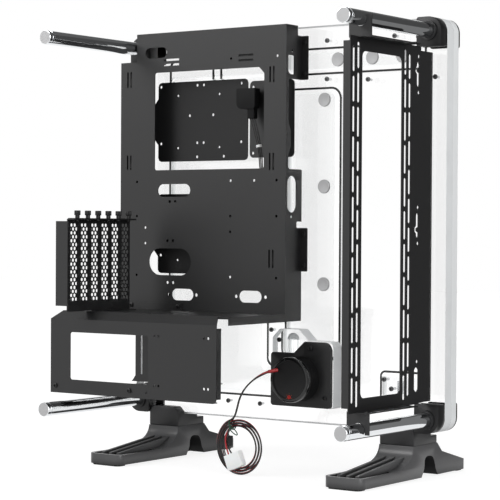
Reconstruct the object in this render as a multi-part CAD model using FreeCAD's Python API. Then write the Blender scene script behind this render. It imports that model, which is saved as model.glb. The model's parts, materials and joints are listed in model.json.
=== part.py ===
"""Open-frame computer case built on a clear water-distribution plate.

The model is drawn in the board frame: the origin is the board's first mounting hole on the tray's
front face, X to the right, Y towards the plate, Z up. Export moves it to the case frame, whose
origin is the middle of the case's footprint on the floor.
"""
import FreeCAD, Part
import math
import os

V = FreeCAD.Vector

# Sheet metal and general clearances
STEEL = 1.2
SCREW_HEAD_R = 3.0
SCREW_HEAD_H = 2.2
RUN_GAP = 0.3

# Motherboard hole grid, a fixed standard
BOARD_COLUMNS = (0.0, -72.39, -227.33)
BOARD_ROWS = (0.0, -157.48, -203.2, -281.94)
BOARD_HOLE_R = 1.75

# Tray outline in the board frame
TRAY_RIGHT = 14.0
TRAY_LEFT = -255.6
TRAY_TOP = 39.5
SHELF_TOP = -327.2
TRAY_BELOW_SHELF = 9.8
TRAY_BOTTOM = SHELF_TOP - TRAY_BELOW_SHELF
TRAY_STEP_X = -228.4
TRAY_STEP_Z = 2.6
TRAY_GAP = 36.5
TRAY_TOP_FOLD = 26.0
TRAY_EDGE_FOLD = 12.0
LUG_REACH = 9.5
UPPER_LUG = (-29.0, 27.0)
LOWER_LUG = (-273.7, -218.0)
LUG_SCREW_INSET = 8.0
LUG_CORNER_R = 1.5
TRAY_WINDOW = [(-197.5, -142.3), (-20.0, -142.3), (-20.0, -21.0), (-28.0, -13.0), (-197.5, -13.0)]
TRAY_WINDOW_R = 3.0
TRAY_SLOTS = ((-191.7, -137.7, -177.8, -161.0), (-206.0, -136.1, -281.4, -246.0), (-214.0, -177.6, 6.5, 20.7))
LOW_SLOTS_X = ((-167.2, -131.7), (-57.6, -22.3))
LOW_SLOT_RISE = 22.8
LOW_SLOT_H = 15.3
LOW_HOLE_XS = (-172.0, -126.9, -62.5, -16.4)
LOW_HOLE_R = 2.2
EXTRA_HOLES = ((-72.39, -223.5), (-35.1, -157.5), (-213.0, -218.5), (-213.0, -239.3))
PAIR_HOLES = ((-167.0, -184.0), (-170.6, -235.8), (-170.3, -291.1))
PAIR_STEP = 4.6
PAIR_R = 2.0
TIE_SLITS_X = ((-182.9, -157.2), (-60.3, -37.2))
TIE_SLITS_Z = (-4.6, 1.8)
TIE_SLIT_H = 2.8
STRAP_SLITS = ((-241.0, -31.0, -10.0), (-241.0, -141.0, -122.0), (-8.0, -33.0, -13.0), (-8.0, -144.6, -123.0),
               (-8.0, -269.0, -246.0))
STRAP_SLIT_AT = (1.6, 4.0)
FOLD_WINDOW = (3.6, 18.0, -23.3, 0.9)
FOLD_SLOT = (3.6, 24.2, -198.5, -152.0)
FOLD_HOLES = ((13.7, 6.5), (13.6, -204.0))
FOLD_HOLE_R = 1.9
FOLD_FOOT_TOP = -210.0
FOLD_CUT = (-143.4, -126.0, -114.0, -96.0, -84.0)
FOLD_DEPTHS = (5.5, 11.5, 25.0)

# Clear plate, two layers
PLATE_W = 481.0
PLATE_H = 506.0
PLATE_R = 18.0
FRONT_T = 16.0
BACK_T = 12.0
LAYER_GAP = 0.1
PLATE_PAST_TRAY = 0.4
PLATE_BELOW_TRAY_TOP = 0.8
PLATE_ABOVE_FLOOR = 58.0
PLATE_LEFT = TRAY_LEFT - PLATE_PAST_TRAY
PLATE_RIGHT = PLATE_LEFT + PLATE_W
PLATE_TOP = TRAY_TOP - PLATE_BELOW_TRAY_TOP
PLATE_BOTTOM = PLATE_TOP - PLATE_H
FLOOR = PLATE_BOTTOM - PLATE_ABOVE_FLOOR
PLATE_Y = TRAY_GAP
JOINT_Y = PLATE_Y + FRONT_T
BACK_Y = JOINT_Y + LAYER_GAP
PLATE_BACK = BACK_Y + BACK_T
RIGHT_ZONE = TRAY_RIGHT + LUG_REACH

# Water channels milled in the front layer, with a gasket round each
CHANNEL_DEPTH = 9.0
GASKET_W = 2.6
GASKET_D = 2.2
GASKET_LAND = 4.0
PUMP_X = 30.5
PUMP_RISE = 58.4
PUMP_Z = PLATE_BOTTOM + PUMP_RISE
TOP_CHANNEL_LEFT = 29.0
TOP_CHANNEL_Z = (60.0, 28.0)
CHANNEL_SIDE = 35.0
RIGHT_TANK_X = (46.0, 36.5)
RIGHT_TANK_LOW = 22.0
RIGHT_TANK_TOP = 78.5
LEFT_TANK_SIDE = 50.0
LEFT_TANK_LOW = 30.0
LEFT_TANK_TOP = 55.0
LEFT_TANK_STEP = 28.0
LEFT_TANK_LAP = 6.0
LEFT_TANK_NOTCH = 12.0
DRAIN_L = 61.0
DRAIN_Z = (36.0, 71.0)
CHANNEL_CORNERS = (8.0, 14.0, 9.0, 6.0)
CHANNEL_CORNER_MIN = 2.0
TOP_PORT_SHARES = (0.223, 0.476, 0.692)
TOP_PORT_DROP = 44.0
TANK_PORT_X = 18.2
TANK_PORT_DROPS = (94.0, 204.0, 328.0)
DRAIN_PLUG_X = 67.2
DRAIN_PLUG_Z = (44.3, 60.3)
DRAIN_PLUG_GAP = 0.1
# Clamp screws: share of the way from the tray to the plate's right edge, and drop from its top
TOP_SCREWS = ((0.141, 19.4), (0.141, 68.0), (0.633, 19.0), (0.444, 71.0))
CLIP_SCREW = (6.0, 22.0)
SIDE_SCREW_INSET = 16.0
SIDE_SCREW_DROP = 72.0
TRAY_SCREW = (18.0, 68.0)
LOW_SCREWS = ((156.0, 21.5), (207.0, 20.5))
PUMP_SCREW = (62.0, 59.0)
DRAIN_SCREWS = ((0.575, 61.9), (0.626, 50.7))
LEFT_SCREW_INSET = 30.0
LEFT_SCREW_RISE = 120.0
LEFT_SCREW_DROP = 200.0
PORT_R = 6.5
PLUG_R = 8.8
PLUG_T = 2.4
PLUG_STEM = 5.0

# Corner posts
TUBE_R = 9.0
TUBE_WALL = 1.5
TUBE_INSET = 17.0
TUBE_REACH = 208.0
CAP_LENGTH = 9.0
CAP_SPIGOT = 8.0
CAP_GROOVE_DEPTH = 0.6
CAP_GROOVE_AT = (5.5, 7.0)
CLIP_W = 34.0
CLIP_H = 36.0
CLIP_T = 15.7
CLIP_CORNER_R = 3.0
SOCKET_DEPTH = 11.0
SOCKET_GAP = 0.15
COLLAR_WALL = 3.0
COLLAR_H = 3.0
PAD_T = 3.0

# Feet
FOOT_W = 54.0
PEDESTAL_W = 48.5
PEDESTAL_SWEEP = 48.0
PEDESTAL_LEDGE = 1.0
FOOT_INSET = 59.0
FOOT_FRONT = 139.5
FOOT_REAR = 115.0
FOOT_RIM_H = 15.0
FOOT_PAD_T = 2.0
FOOT_PAD_L = 18.0
FOOT_TOE_R = 11.0
SADDLE_BASE_H = 41.3
SADDLE_FRONT = 14.5
SADDLE_REAR = 42.5
SADDLE_LIP_H = 9.3
SADDLE_REAR_DROP = 7.0
SADDLE_CHAMFER = 7.0
ARCH_W = 42.0
ARCH_NECK_W = 28.0
ARCH_NECK_H = 11.0
ARCH_TOP_W = 20.0
ARCH_H = 27.0
ARCH_R = 9.0
ARCH_CENTRE = 20.5
ARCH_WEB = 6.0
SHOULDER_RUN = 10.0
SHOULDER_DROP = 11.5
HEEL_RUN = 7.0
HEEL_DROP = 3.0
FOOT_PAD_INSET = 2.5
FOOT_PAD_R = 6.0
TOE_POCKET_WALL = 4.5
TOE_POCKET_D = 3.5
WEDGE_W = 30.0
WEDGE_GROOVE_W = 8.0
WEDGE_TIP_H = 15.7
WEDGE_ROOT_H = 28.5
WEDGE_TIP_GAP = 9.0

# Power-supply compartment
SHELF_LEFT = -250.0
SHELF_FRONT = -120.0
SHELF_LIP_H = 10.0
SHELF_SLOTS_X = ((-60.0, -30.0), (-120.0, -90.0))
SHELF_SLOT_Y = (-70.0, -60.0)
SHELF_UPSTAND_H = 9.0
SHELF_UPSTAND_RIGHT = -150.0
COVER_LEFT = -262.4
COVER_RIGHT = 4.0
COVER_BEVEL_H = 9.5
COVER_FACE_H = 95.3
COVER_CREASE = SHELF_TOP - COVER_BEVEL_H
COVER_BOTTOM = COVER_CREASE - COVER_FACE_H
COVER_FACE_Y = -131.9
COVER_BEVEL_DEPTH = 9.0
COVER_BEVEL_CUT = 13.7
COVER_FLANGE = 10.0
COVER_CORNER_R = 5.0
COVER_WINDOW_X = (-229.2, -101.4)
COVER_WINDOW_LOW = 18.0
COVER_WINDOW_HIGH = 16.5
COVER_WINDOW_R = 3.0
COVER_FLANGE_RIGHT = -112.0
COVER_RETURN_GAP = 4.0
COVER_SMALL_HOLE_XS = (-126.0, -104.0)
COVER_SMALL_HOLE_R = 1.6
COVER_SMALL_HOLE_RISE = 8.0
COVER_SCREW_XS = (-253.9, -131.5)
COVER_SCREW_RISE = 9.0
SHELF_SCREW_INSETS = (94.0, 15.0)
DRIVE_HOLE_PITCH_X = 76.6
DRIVE_HOLE_PITCH_Z = 61.72
DRIVE_HOLE_X = -52.9
DRIVE_HOLE_RISE = 0.6
DRIVE_HOLE_Z = (COVER_BOTTOM + COVER_CREASE) / 2 + DRIVE_HOLE_RISE
DRIVE_HOLE_STEP = 6.2
DRIVE_HOLE_R = 1.7
SUPPORT_X = (-229.6, -110.0)
SUPPORT_RISE = 42.3
SUPPORT_BOTTOM = PLATE_BOTTOM + SUPPORT_RISE
SUPPORT_LAP = 18.0
SUPPORT_SLOT_W = 3.4
SUPPORT_SLOT_INSET = 8.6
SUPPORT_SLOT_MARGINS = (10.0, 6.0)
SUPPORT_TOE = 6.0
SUPPORT_TOE_H = 8.0

# Expansion slots
SLOT_COUNT = 6
SLOT_PITCH = 20.32
SLOT_FIRST_Y = -147.6
SLOT_FACE_X = -211.0
SLOT_FRAME_H = 119.2
SLOT_TOP = SHELF_TOP + SLOT_FRAME_H
SLOT_FRONT_MARGIN = 12.4
SLOT_REAR_MARGIN = 10.0
SLOT_STEP_H = 8.6
SLOT_LOW = SHELF_TOP + SLOT_STEP_H
SLOT_OPENING_W = 13.4
SLOT_SILL = 5.6
SLOT_HEADER = 5.0
SLOT_OPENING_Z = (SLOT_LOW + SLOT_SILL, SLOT_TOP - SLOT_HEADER)
SLOT_WING = 18.5
SLOT_WING_DROP = 3.0
SLOT_STEP_GAP = 2.0
SLOT_COVER_LAP = 3.0
SLOT_LEDGE = 11.0
COVER_PLATE_W = 18.4
COVER_PLATE_T = 1.0
MESH_ROWS = 20
MESH_MARGIN = 3.45
MESH_PITCH_Z = (SLOT_OPENING_Z[1] - SLOT_OPENING_Z[0] - 2 * MESH_MARGIN) / (MESH_ROWS - 1)
MESH_PITCH_Y = 5.9
MESH_R = 2.45
THUMB_HEAD_R = 4.0
THUMB_HEAD_H = 6.0
THUMB_NECK_R = 2.5
THUMB_NECK_H = 3.6
THUMB_COLLAR = 0.5

# Radiator bracket
RAD_INSET_X = 20.0
RAD_INSET_Z = 37.5
RAD_FRONT = 187.0
RAD_FRONT_FOLD = 9.5
RAD_REAR_FOLD = 14.0
RAD_REAR_CUT = 5.0
RAD_REAR_STEP = 1.5
RAD_REAR_STRIP = 28.0
RAD_TOP_FOLD = 19.0
RAD_TAB_Y = -134.6
RAD_TAB_W = 30.5
RAD_TAB_PAST_CENTRE = 4.0
RAD_WINDOW_MARGIN_Z = 16.0
RAD_FIN_CENTRE = -80.2
RAD_NARROW = 105.0
RAD_WIDE = 125.0
RAD_WINDOW_W = 88.8
RAD_WINDOW_R = 7.0
RAD_SLOT_W = 5.0
RAD_SLOT_BRIDGE = 4.9
RAD_SLOT_MARGIN = 6.5
RAD_NARROW_COUNT = 11
RAD_WIDE_COUNT = 12
RAD_WIDE_MARGIN = 11.5
RAD_FOOT_STEP = 6.0
RAD_FOLD_PAST_TAB = 3.0
RAD_FOLD_SHORT = 34.0
RAD_SCREW_HIGH = 61.0
RAD_SCREW_LOW = 40.0
KEYHOLE_Y = 1.5
KEYHOLE_HIGH = 34.2
KEYHOLE_LOW = 29.8
KEYHOLE_L = 29.0
KEYHOLE_W = 5.0
KEYHOLE_STEP = 21.7
KEYHOLE_STEP_Y = 1.8
KEYHOLE_HOLE_R = 2.4
KEYHOLE_HEAD_R = 4.6
KEYHOLE_HEAD_Y = 3.2
KEYHOLE_HEAD_Z = 5.2
KEYHOLE_TAB_R = 3.4
KEYHOLE_TAB_Y = 4.6
RAD_PORT_W = 9.5

# Drive brackets behind the tray
BRACKET_Y = 25.0
BRACKET_R = 6.0
BRACKET_HOLE_R = 1.9
SPACER_R = 4.0
UPPER_BRACKET = (-210.3, -62.7, -132.0, -18.5)
LOWER_BRACKET = (-210.3, -62.7, -281.0, -174.0)
SMALL_BRACKET = (-59.9, 9.5, -127.4, -28.0)
BRACKET_TAB = 8.4
BRACKET_HOLE_INSET = 14.0
BRACKET_TAB_Z = (31.7, 78.8)
BRACKET_EDGE_Z = (6.0, 8.0)
BRACKET_EDGE_X = (5.0, 12.0)
BRACKET_MID_X = (-12.0, -2.0)
BRACKET_CENTRE_X = (-22.0, 17.0)
BRACKET_CENTRE_RISE = 5.0
BRACKET_WIDE = 100.0

# Pump on the plate
PUMP_TOP_T = 20.0
PUMP_FLANGE_T = 5.0
PUMP_R = 28.5
PUMP_L = 26.0
PUMP_FACE_R = 24.0
PUMP_RIM = 1.0
VOLUTE_R = 22.0
VOLUTE_D = 12.0
IMPELLER_R = 20.0
IMPELLER_T = 9.0
IMPELLER_VANES = 6
SHAFT_R = 1.5
SHAFT_GAP = 0.05
NECK_R = 8.0
DIAL_R = 2.6
DIAL_H = 3.2
DIAL_DROP = 21.6
DIAL_SLOT_W = 0.9
INLET_R = 8.5
INLET_L = 43.7
INLET_RISE = 5.0
INLET_OFFSET = 18.5
FLANGE_X = (45.5, 45.2)
FLANGE_LOW = 35.6
FLANGE_TOP = (32.3, 47.2)
FLANGE_EAR = (10.4, 5.9)
FLANGE_CORNERS = [4, 4, 11, 3, 3, 4]
BLOCK_X = (46.5, 46.0)
BLOCK_LOW = 36.1
BLOCK_TOP = (51.0, 62.0, 48.0)
BLOCK_EAR = (35.5, 5.5, 9.0)
BLOCK_CORNERS = [3, 3, 9, 2, 4, 4, 4]
FLANGE_SCREWS = ((15.5, 39.5), (37.0, -23.0))
BLOCK_SCREWS = ((-35.8, 48.0),)
SHAFT_PAST = 0.5
PUMP_CHAMFER = 1.5
DIAL_SUNK = 0.7
DIAL_SLOT_D = 1.0
IMPELLER_DISC_T = 2.5
IMPELLER_HUB_R = 4.0
VANE = [(3.0, -0.9), (18.5, 4.6), (18.5, 6.4), (3.0, 0.9)]

# Panel switches and sockets under the tray's top fold
PANEL_X = (-62.0, 8.0)
PANEL_Y = (3.0, 24.0)
PANEL_H = 24.0
PANEL_ROW_Y = 13.5
POWER_X = -4.0
POWER_R = 5.0
RESET_X = -16.0
RESET_R = 2.6
BUTTON_PROUD = 0.8
BUTTON_L = 7.0
BUTTON_TRAVEL = 1.2
USB_XS = (-29.0, -46.0)
USB_W = 13.2
USB_H = 5.8
USB_DEPTH = 11.0
USB_TONGUE = 1.8
AUDIO_X = -57.5
AUDIO_GAP = 1.0
AUDIO_R = 1.8

# Case frame: the middle of the footprint, on the floor
CASE_X = -(COVER_LEFT + PLATE_RIGHT) / 2
CASE_Y = -(2 * PLATE_Y - TUBE_REACH + FOOT_REAR) / 2
CASE_ORIGIN = V(CASE_X, CASE_Y, -FLOOR)

# Pump lead, coil and plugs, in the case frame
LEAD_D = 3.6
LEAD_X = PUMP_X + CASE_X
LEAD_ROUTE = [
    (LEAD_X - 17.3, -4.7, 128.4), (LEAD_X - 20.8, -9.4, 127.7), (LEAD_X - 25.2, -14.0, 126.2),
    (LEAD_X - 30.8, -20.2, 122.8), (LEAD_X - 36.6, -27.0, 117.6), (LEAD_X - 41.6, -34.0, 110.6),
    (LEAD_X - 45.0, -41.0, 102.0), (LEAD_X - 46.2, -47.0, 92.4), (LEAD_X - 45.8, -51.6, 82.6),
    (LEAD_X - 46.3, -54.4, 74.6), (LEAD_X - 48.6, -55.84, 69.0),
]
COIL_CENTRE = (LEAD_X - 36.2, -57.0, 35.2)
COIL_R = 29.6
COIL_TUBE_R = 4.9
TIE_ANGLE = 116.0
TIE_W = 4.0
TIE_T = 0.8
TIE_GAP = 0.4
POWER_PLUG_W = 23.0
POWER_PLUG_L = 19.0
POWER_PLUG_T = 9.4
POWER_PLUG_TIP = 22.0
POWER_PLUG_AT = (-1.2, -16.4)
POWER_POLE_R = 1.8
POWER_PLUG_CORNERS = [3.0, 3.0, 0.6, 0.6]
SPEED_PLUG_W = 8.5
SPEED_PLUG_L = 13.0
SPEED_PLUG_T = 5.0
SPEED_PLUG_AT = (-27.5, -1.5)

# Panel cable behind the tray's window, in the board frame
CABLE_D = 4.5
CABLE_ROUTE = [
    (1.3, 12.0, 14.5), (1.9, 12.3, -20.3), (2.7, 12.0, -70.3), (3.1, 11.7, -120.3), (2.8, 12.0, -147.55),
    (-7.45, 12.3, -157.8), (-21.95, 12.3, -157.9), (-32.2, 12.0, -147.55), (-33.1, 11.7, -125.3),
    (-38.5, 11.9, -101.3), (-46.7, 12.0, -77.7),
]
HEADER_X = (21.3, 7.5)
HEADER_Z = (12.6, 39.0)
HEADER_T = 12.0
HEADER_WALL = 1.5
HEADER_DEPTH = 12.0
HEADER_CORNERS = [8.0, 4.0, 1.0, 1.0]
RELIEF_W = 10.0
RELIEF_T = 8.0
CABLE_TIE_T = 1.2
CABLE_TIE_W = 3.0


def point(plane, u, v, w):
    """Point with coordinates u, v in a plane and w along the plane's normal."""
    if plane == "xz":
        return V(u, w, v)
    if plane == "yz":
        return V(w, u, v)
    return V(u, v, w)


def rect(u0, u1, v0, v1):
    """Corners of a rectangle."""
    return [(u0, v0), (u1, v0), (u1, v1), (u0, v1)]


def outline(plane, points, w, radius=0.0):
    """Closed wire through points, with one radius for all corners or one for each."""
    radii = radius if isinstance(radius, (list, tuple)) else [radius] * len(points)
    corners = [point(plane, u, v, w) for u, v in points]
    bends = []
    for i, corner in enumerate(corners):
        to_last = (corners[i - 1] - corner).normalize()
        to_next = (corners[(i + 1) % len(corners)] - corner).normalize()
        if radii[i] <= 0:
            bends.append((corner, None, corner))
            continue
        half = to_last.getAngle(to_next) / 2
        reach = radii[i] / math.tan(half)
        depth = radii[i] / math.sin(half) - radii[i]
        middle = corner + (to_last + to_next).normalize() * depth
        bends.append((corner + to_last * reach, middle, corner + to_next * reach))
    edges = []
    for i, (start, middle, end) in enumerate(bends):
        if middle is not None:
            edges.append(Part.Arc(start, middle, end).toShape())
        following = bends[(i + 1) % len(bends)][0]
        if (following - end).Length > 1e-6:
            edges.append(Part.LineSegment(end, following).toShape())
    return Part.Wire(edges)


def circle(u, v, r):
    """Round hole."""
    def wire(plane, w):
        return Part.Wire([Part.Circle(point(plane, u, v, w), point(plane, 0, 0, 1), r).toShape()])
    return wire


def opening(points, radius=0.0):
    """Hole with straight sides and rounded corners."""
    return lambda plane, w: outline(plane, points, w, radius)


def slot(u0, u1, v0, v1):
    """Hole with round ends."""
    return opening(rect(u0, u1, v0, v1), min(u1 - u0, v1 - v0) / 2)


def cut_slot(u0, u1, v0, v1):
    """Slot whose ends are cut off at the corners, for the long repeated rows."""
    c = (u1 - u0) * 0.3
    return opening([(u0 + c, v0), (u1 - c, v0), (u1, v0 + c), (u1, v1 - c),
                    (u1 - c, v1), (u0 + c, v1), (u0, v1 - c), (u0, v0 + c)])


def hexagon(u, v, r):
    """Six-sided hole with corners to both sides."""
    turns = [math.radians(60 * k) for k in range(6)]
    return opening([(u + r * math.cos(a), v + r * math.sin(a)) for a in turns])


def slab(plane, points, w0, w1, radius=0.0, holes=()):
    """Flat piece of a given outline between two heights, with through holes."""
    wires = [outline(plane, points, w0, radius)]
    wires += [hole(plane, w0) for hole in holes]
    face = Part.makeFace(wires, "Part::FaceMakerBullseye")
    return face.extrude(point(plane, 0, 0, w1 - w0))


def rod(axis, u, v, w0, w1, r):
    """Cylinder along an axis, between two heights; the plane names give its normal."""
    return Part.makeCylinder(r, w1 - w0, point(axis, u, v, w0), point(axis, 0, 0, 1))


def joined(shapes):
    """One solid from shapes that share material, with seams removed."""
    whole = shapes[0]
    for shape in shapes[1:]:
        whole = whole.fuse(shape)
    return whole.removeSplitter()


def channel_loops():
    """Centre lines of the gaskets: name, corner points in X and Z, corner radius."""
    right, left = PLATE_RIGHT, PLATE_LEFT
    top, low = PLATE_TOP, PLATE_BOTTOM
    side = right - CHANNEL_SIDE
    pump_left = PUMP_X - RIGHT_TANK_X[0]
    lap = pump_left + LEFT_TANK_LAP
    step = pump_left - LEFT_TANK_STEP
    notch = PUMP_Z + LEFT_TANK_NOTCH
    left_tank = [
        (left + LEFT_TANK_SIDE, low + LEFT_TANK_LOW), (lap, low + LEFT_TANK_LOW), (lap, notch), (step, notch),
        (step, top - LEFT_TANK_TOP), (left + LEFT_TANK_SIDE, top - LEFT_TANK_TOP),
    ]
    right_tank = rect(pump_left, PUMP_X + RIGHT_TANK_X[1], PUMP_Z + RIGHT_TANK_LOW, top - RIGHT_TANK_TOP)
    loops = {
        "gasket_top_channel": rect(TRAY_RIGHT - TOP_CHANNEL_LEFT, side,
                                   top - TOP_CHANNEL_Z[0], top - TOP_CHANNEL_Z[1]),
        "gasket_right_reservoir": right_tank,
        "gasket_left_reservoir": left_tank,
        "gasket_drain_channel": rect(side - DRAIN_L, side, low + DRAIN_Z[0], low + DRAIN_Z[1]),
    }
    return {name: (points, radius) for (name, points), radius in zip(loops.items(), CHANNEL_CORNERS)}


def inset(points, distance):
    """Right-angled outline drawn in by a distance, counter-clockwise."""
    moved = []
    for i, (u, v) in enumerate(points):
        before = points[i - 1]
        after = points[(i + 1) % len(points)]
        shift = [0.0, 0.0]
        for (a, b) in ((before, (u, v)), ((u, v), after)):
            run = (b[0] - a[0], b[1] - a[1])
            length = math.hypot(*run)
            shift[0] -= distance * run[1] / length
            shift[1] += distance * run[0] / length
        moved.append((u + shift[0], v + shift[1]))
    return moved


def gasket(points, radius):
    """Flat cord of rubber lying in its groove at the joint of the two layers."""
    half = GASKET_W / 2
    inner = opening(inset(points, half), radius - half)
    return slab("xz", inset(points, -half), JOINT_Y - GASKET_D, BACK_Y, radius + half, [inner])


def right_of_tray(share):
    """X at a share of the way from the tray's feet to the plate's right edge."""
    return RIGHT_ZONE + share * (PLATE_RIGHT - RIGHT_ZONE)


def port_places():
    """Centres of the threaded ports in the front layer, each over a channel."""
    ports = [(right_of_tray(share), PLATE_TOP - TOP_PORT_DROP) for share in TOP_PORT_SHARES]
    ports += [(PUMP_X + TANK_PORT_X, PLATE_TOP - drop) for drop in TANK_PORT_DROPS]
    return ports


def plate_screw_places():
    """Centres of the screws that clamp the two layers."""
    top, low, right, left = PLATE_TOP, PLATE_BOTTOM, PLATE_RIGHT, PLATE_LEFT
    places = [(right_of_tray(share), top - drop) for share, drop in TOP_SCREWS]
    places += [(left + across, low + rise) for across, rise in LOW_SCREWS]
    places += [(right_of_tray(share), low + rise) for share, rise in DRAIN_SCREWS]
    places += [
        (TRAY_RIGHT - TRAY_SCREW[0], top - TRAY_SCREW[1]),
        (right - CLIP_W - CLIP_SCREW[0], top - CLIP_SCREW[1]),
        (right - SIDE_SCREW_INSET, top - SIDE_SCREW_DROP),
        (PUMP_X - PUMP_SCREW[0], PUMP_Z + PUMP_SCREW[1]),
        (left + LEFT_SCREW_INSET, low + LEFT_SCREW_RISE), (left + LEFT_SCREW_INSET, top - LEFT_SCREW_DROP),
    ]
    return places


def front_plate():
    """Front acrylic layer: channels and gasket grooves in its back, ports in its front."""
    ports = [circle(x, z, PORT_R) for x, z in port_places()]
    outline = rect(PLATE_LEFT, PLATE_RIGHT, PLATE_BOTTOM, PLATE_TOP)
    plate = slab("xz", outline, PLATE_Y, JOINT_Y, PLATE_R, ports)
    for points, radius in channel_loops().values():
        land = GASKET_W / 2 + GASKET_LAND
        plate = plate.cut(slab("xz", inset(points, land), JOINT_Y - CHANNEL_DEPTH, JOINT_Y,
                              max(radius - land, CHANNEL_CORNER_MIN)))
        plate = plate.cut(gasket(points, radius))
    return plate


def back_plate():
    """Plain back acrylic layer that closes the channels."""
    return slab("xz", rect(PLATE_LEFT, PLATE_RIGHT, PLATE_BOTTOM, PLATE_TOP), BACK_Y, PLATE_BACK, PLATE_R)


def port_plugs():
    """Stop plugs: a flat disc on the plate and a stem in the port."""
    plugs = []
    for x, z in port_places():
        disc = rod("xz", x, z, PLATE_Y - PLUG_T, PLATE_Y, PLUG_R)
        stem = rod("xz", x, z, PLATE_Y, PLATE_Y + PLUG_STEM, PORT_R - SOCKET_GAP)
        plugs.append(joined([disc, stem]))
    return Part.makeCompound(plugs)


def drain_plug():
    """Plug lying in the drain channel, as deep as the channel."""
    radius = CHANNEL_DEPTH / 2 - DRAIN_PLUG_GAP
    low, high = (PLATE_BOTTOM + rise for rise in DRAIN_PLUG_Z)
    at = V(PLATE_RIGHT - DRAIN_PLUG_X, JOINT_Y - CHANNEL_DEPTH / 2, low)
    return Part.makeCylinder(radius, high - low, at, V(0, 0, 1))


def plate_screws():
    """Heads of the screws that clamp the layers, seated on the plate."""
    heads = [rod("xz", x, z, PLATE_Y - SCREW_HEAD_H, PLATE_Y, SCREW_HEAD_R) for x, z in plate_screw_places()]
    return Part.makeCompound(heads)


def corners():
    """Corner name, tube centre, and which way is outwards."""
    places = {}
    for side, x, out_x in (("left", PLATE_LEFT + TUBE_INSET, -1), ("right", PLATE_RIGHT - TUBE_INSET, 1)):
        levels = (("lower", PLATE_BOTTOM + TUBE_INSET, -1), ("upper", PLATE_TOP - TUBE_INSET, 1))
        for level, z, out_z in levels:
            places[level + "_" + side] = (x, z, out_x, out_z)
    return places


def corner_outline(x, z, out_x, out_z):
    """Outline of a corner clip: flush with the plate's edges, rounded as its corner is."""
    outer_x = x + out_x * TUBE_INSET
    outer_z = z + out_z * TUBE_INSET
    u0, u1 = sorted((outer_x, outer_x - out_x * CLIP_W))
    v0, v1 = sorted((outer_z, outer_z - out_z * CLIP_H))
    points = rect(u0, u1, v0, v1)
    radii = []
    for u, v in points:
        at_plate_corner = u == outer_x and v == outer_z
        radii.append(PLATE_R if at_plate_corner else CLIP_CORNER_R)
    return points, radii


def corner_clip(place):
    """Moulded clip in front of the plate, with a collar and socket for its tube."""
    x, z = place[:2]
    points, radii = corner_outline(*place)
    face = PLATE_Y - CLIP_T
    block = slab("xz", points, face, PLATE_Y, radii)
    collar = rod("xz", x, z, face - COLLAR_H, face, TUBE_R + COLLAR_WALL)
    socket = rod("xz", x, z, face - COLLAR_H, face + SOCKET_DEPTH, TUBE_R + SOCKET_GAP)
    return joined([block, collar]).cut(socket)


def rear_pads():
    """Thin pads behind the plate at each corner."""
    pads = []
    for place in corners().values():
        points, radii = corner_outline(*place)
        pads.append(slab("xz", points, PLATE_BACK, PLATE_BACK + PAD_T, radii))
    return Part.makeCompound(pads)


def standoff_tube(place):
    """Chromed tube from its socket to the end cap."""
    x, z = place[:2]
    start = PLATE_Y - TUBE_REACH + CAP_LENGTH
    end = PLATE_Y - CLIP_T + SOCKET_DEPTH
    bore = rod("xz", x, z, start, end, TUBE_R - TUBE_WALL)
    return rod("xz", x, z, start, end, TUBE_R).cut(bore)


def tube_caps():
    """Turned end caps with a ring groove and a spigot inside the tube."""
    front = PLATE_Y - TUBE_REACH
    neck = TUBE_R - CAP_GROOVE_DEPTH
    spigot = TUBE_R - TUBE_WALL - SOCKET_GAP
    profile = [
        (0.0, 0.0), (TUBE_R, 0.0),
        (TUBE_R, CAP_GROOVE_AT[0]), (neck, CAP_GROOVE_AT[0]), (neck, CAP_GROOVE_AT[1]),
        (TUBE_R, CAP_GROOVE_AT[1]), (TUBE_R, CAP_LENGTH), (spigot, CAP_LENGTH),
        (spigot, CAP_LENGTH + CAP_SPIGOT), (0.0, CAP_LENGTH + CAP_SPIGOT),
    ]
    caps = []
    for x, z, _, _ in corners().values():
        half = [V(x + r, front + h, z) for r, h in profile]
        face = Part.Face(Part.makePolygon(half + half[:1]))
        caps.append(face.revolve(V(x, front, z), V(0, 1, 0), 360))
    return Part.makeCompound(caps)


def foot_centres():
    """Middle of each foot across the case."""
    return {"left": PLATE_LEFT + FOOT_INSET, "right": PLATE_RIGHT - FOOT_INSET}


def foot_saddle(x):
    """Moulded saddle that holds the plate's lower edge."""
    base = FLOOR + SADDLE_BASE_H
    lip = PLATE_BOTTOM + SADDLE_LIP_H
    side = [
        (PLATE_Y - SADDLE_FRONT, base), (PLATE_Y + SADDLE_REAR, base),
        (PLATE_Y + SADDLE_REAR, PLATE_BOTTOM - SADDLE_REAR_DROP),
        (PLATE_BACK, PLATE_BOTTOM - SADDLE_REAR_DROP), (PLATE_BACK, PLATE_BOTTOM),
        (PLATE_Y, PLATE_BOTTOM), (PLATE_Y, lip), (PLATE_Y - SADDLE_FRONT, lip),
    ]
    half = PEDESTAL_W / 2
    body = slab("yz", side, x - half, x + half)
    cut = SADDLE_CHAMFER
    front = [(x - half, base), (x + half, base), (x + half, lip - cut), (x + half - cut, lip),
             (x - half + cut, lip), (x - half, lip - cut)]
    return body.common(slab("xz", front, PLATE_Y - SADDLE_FRONT, PLATE_Y + SADDLE_REAR))


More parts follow.
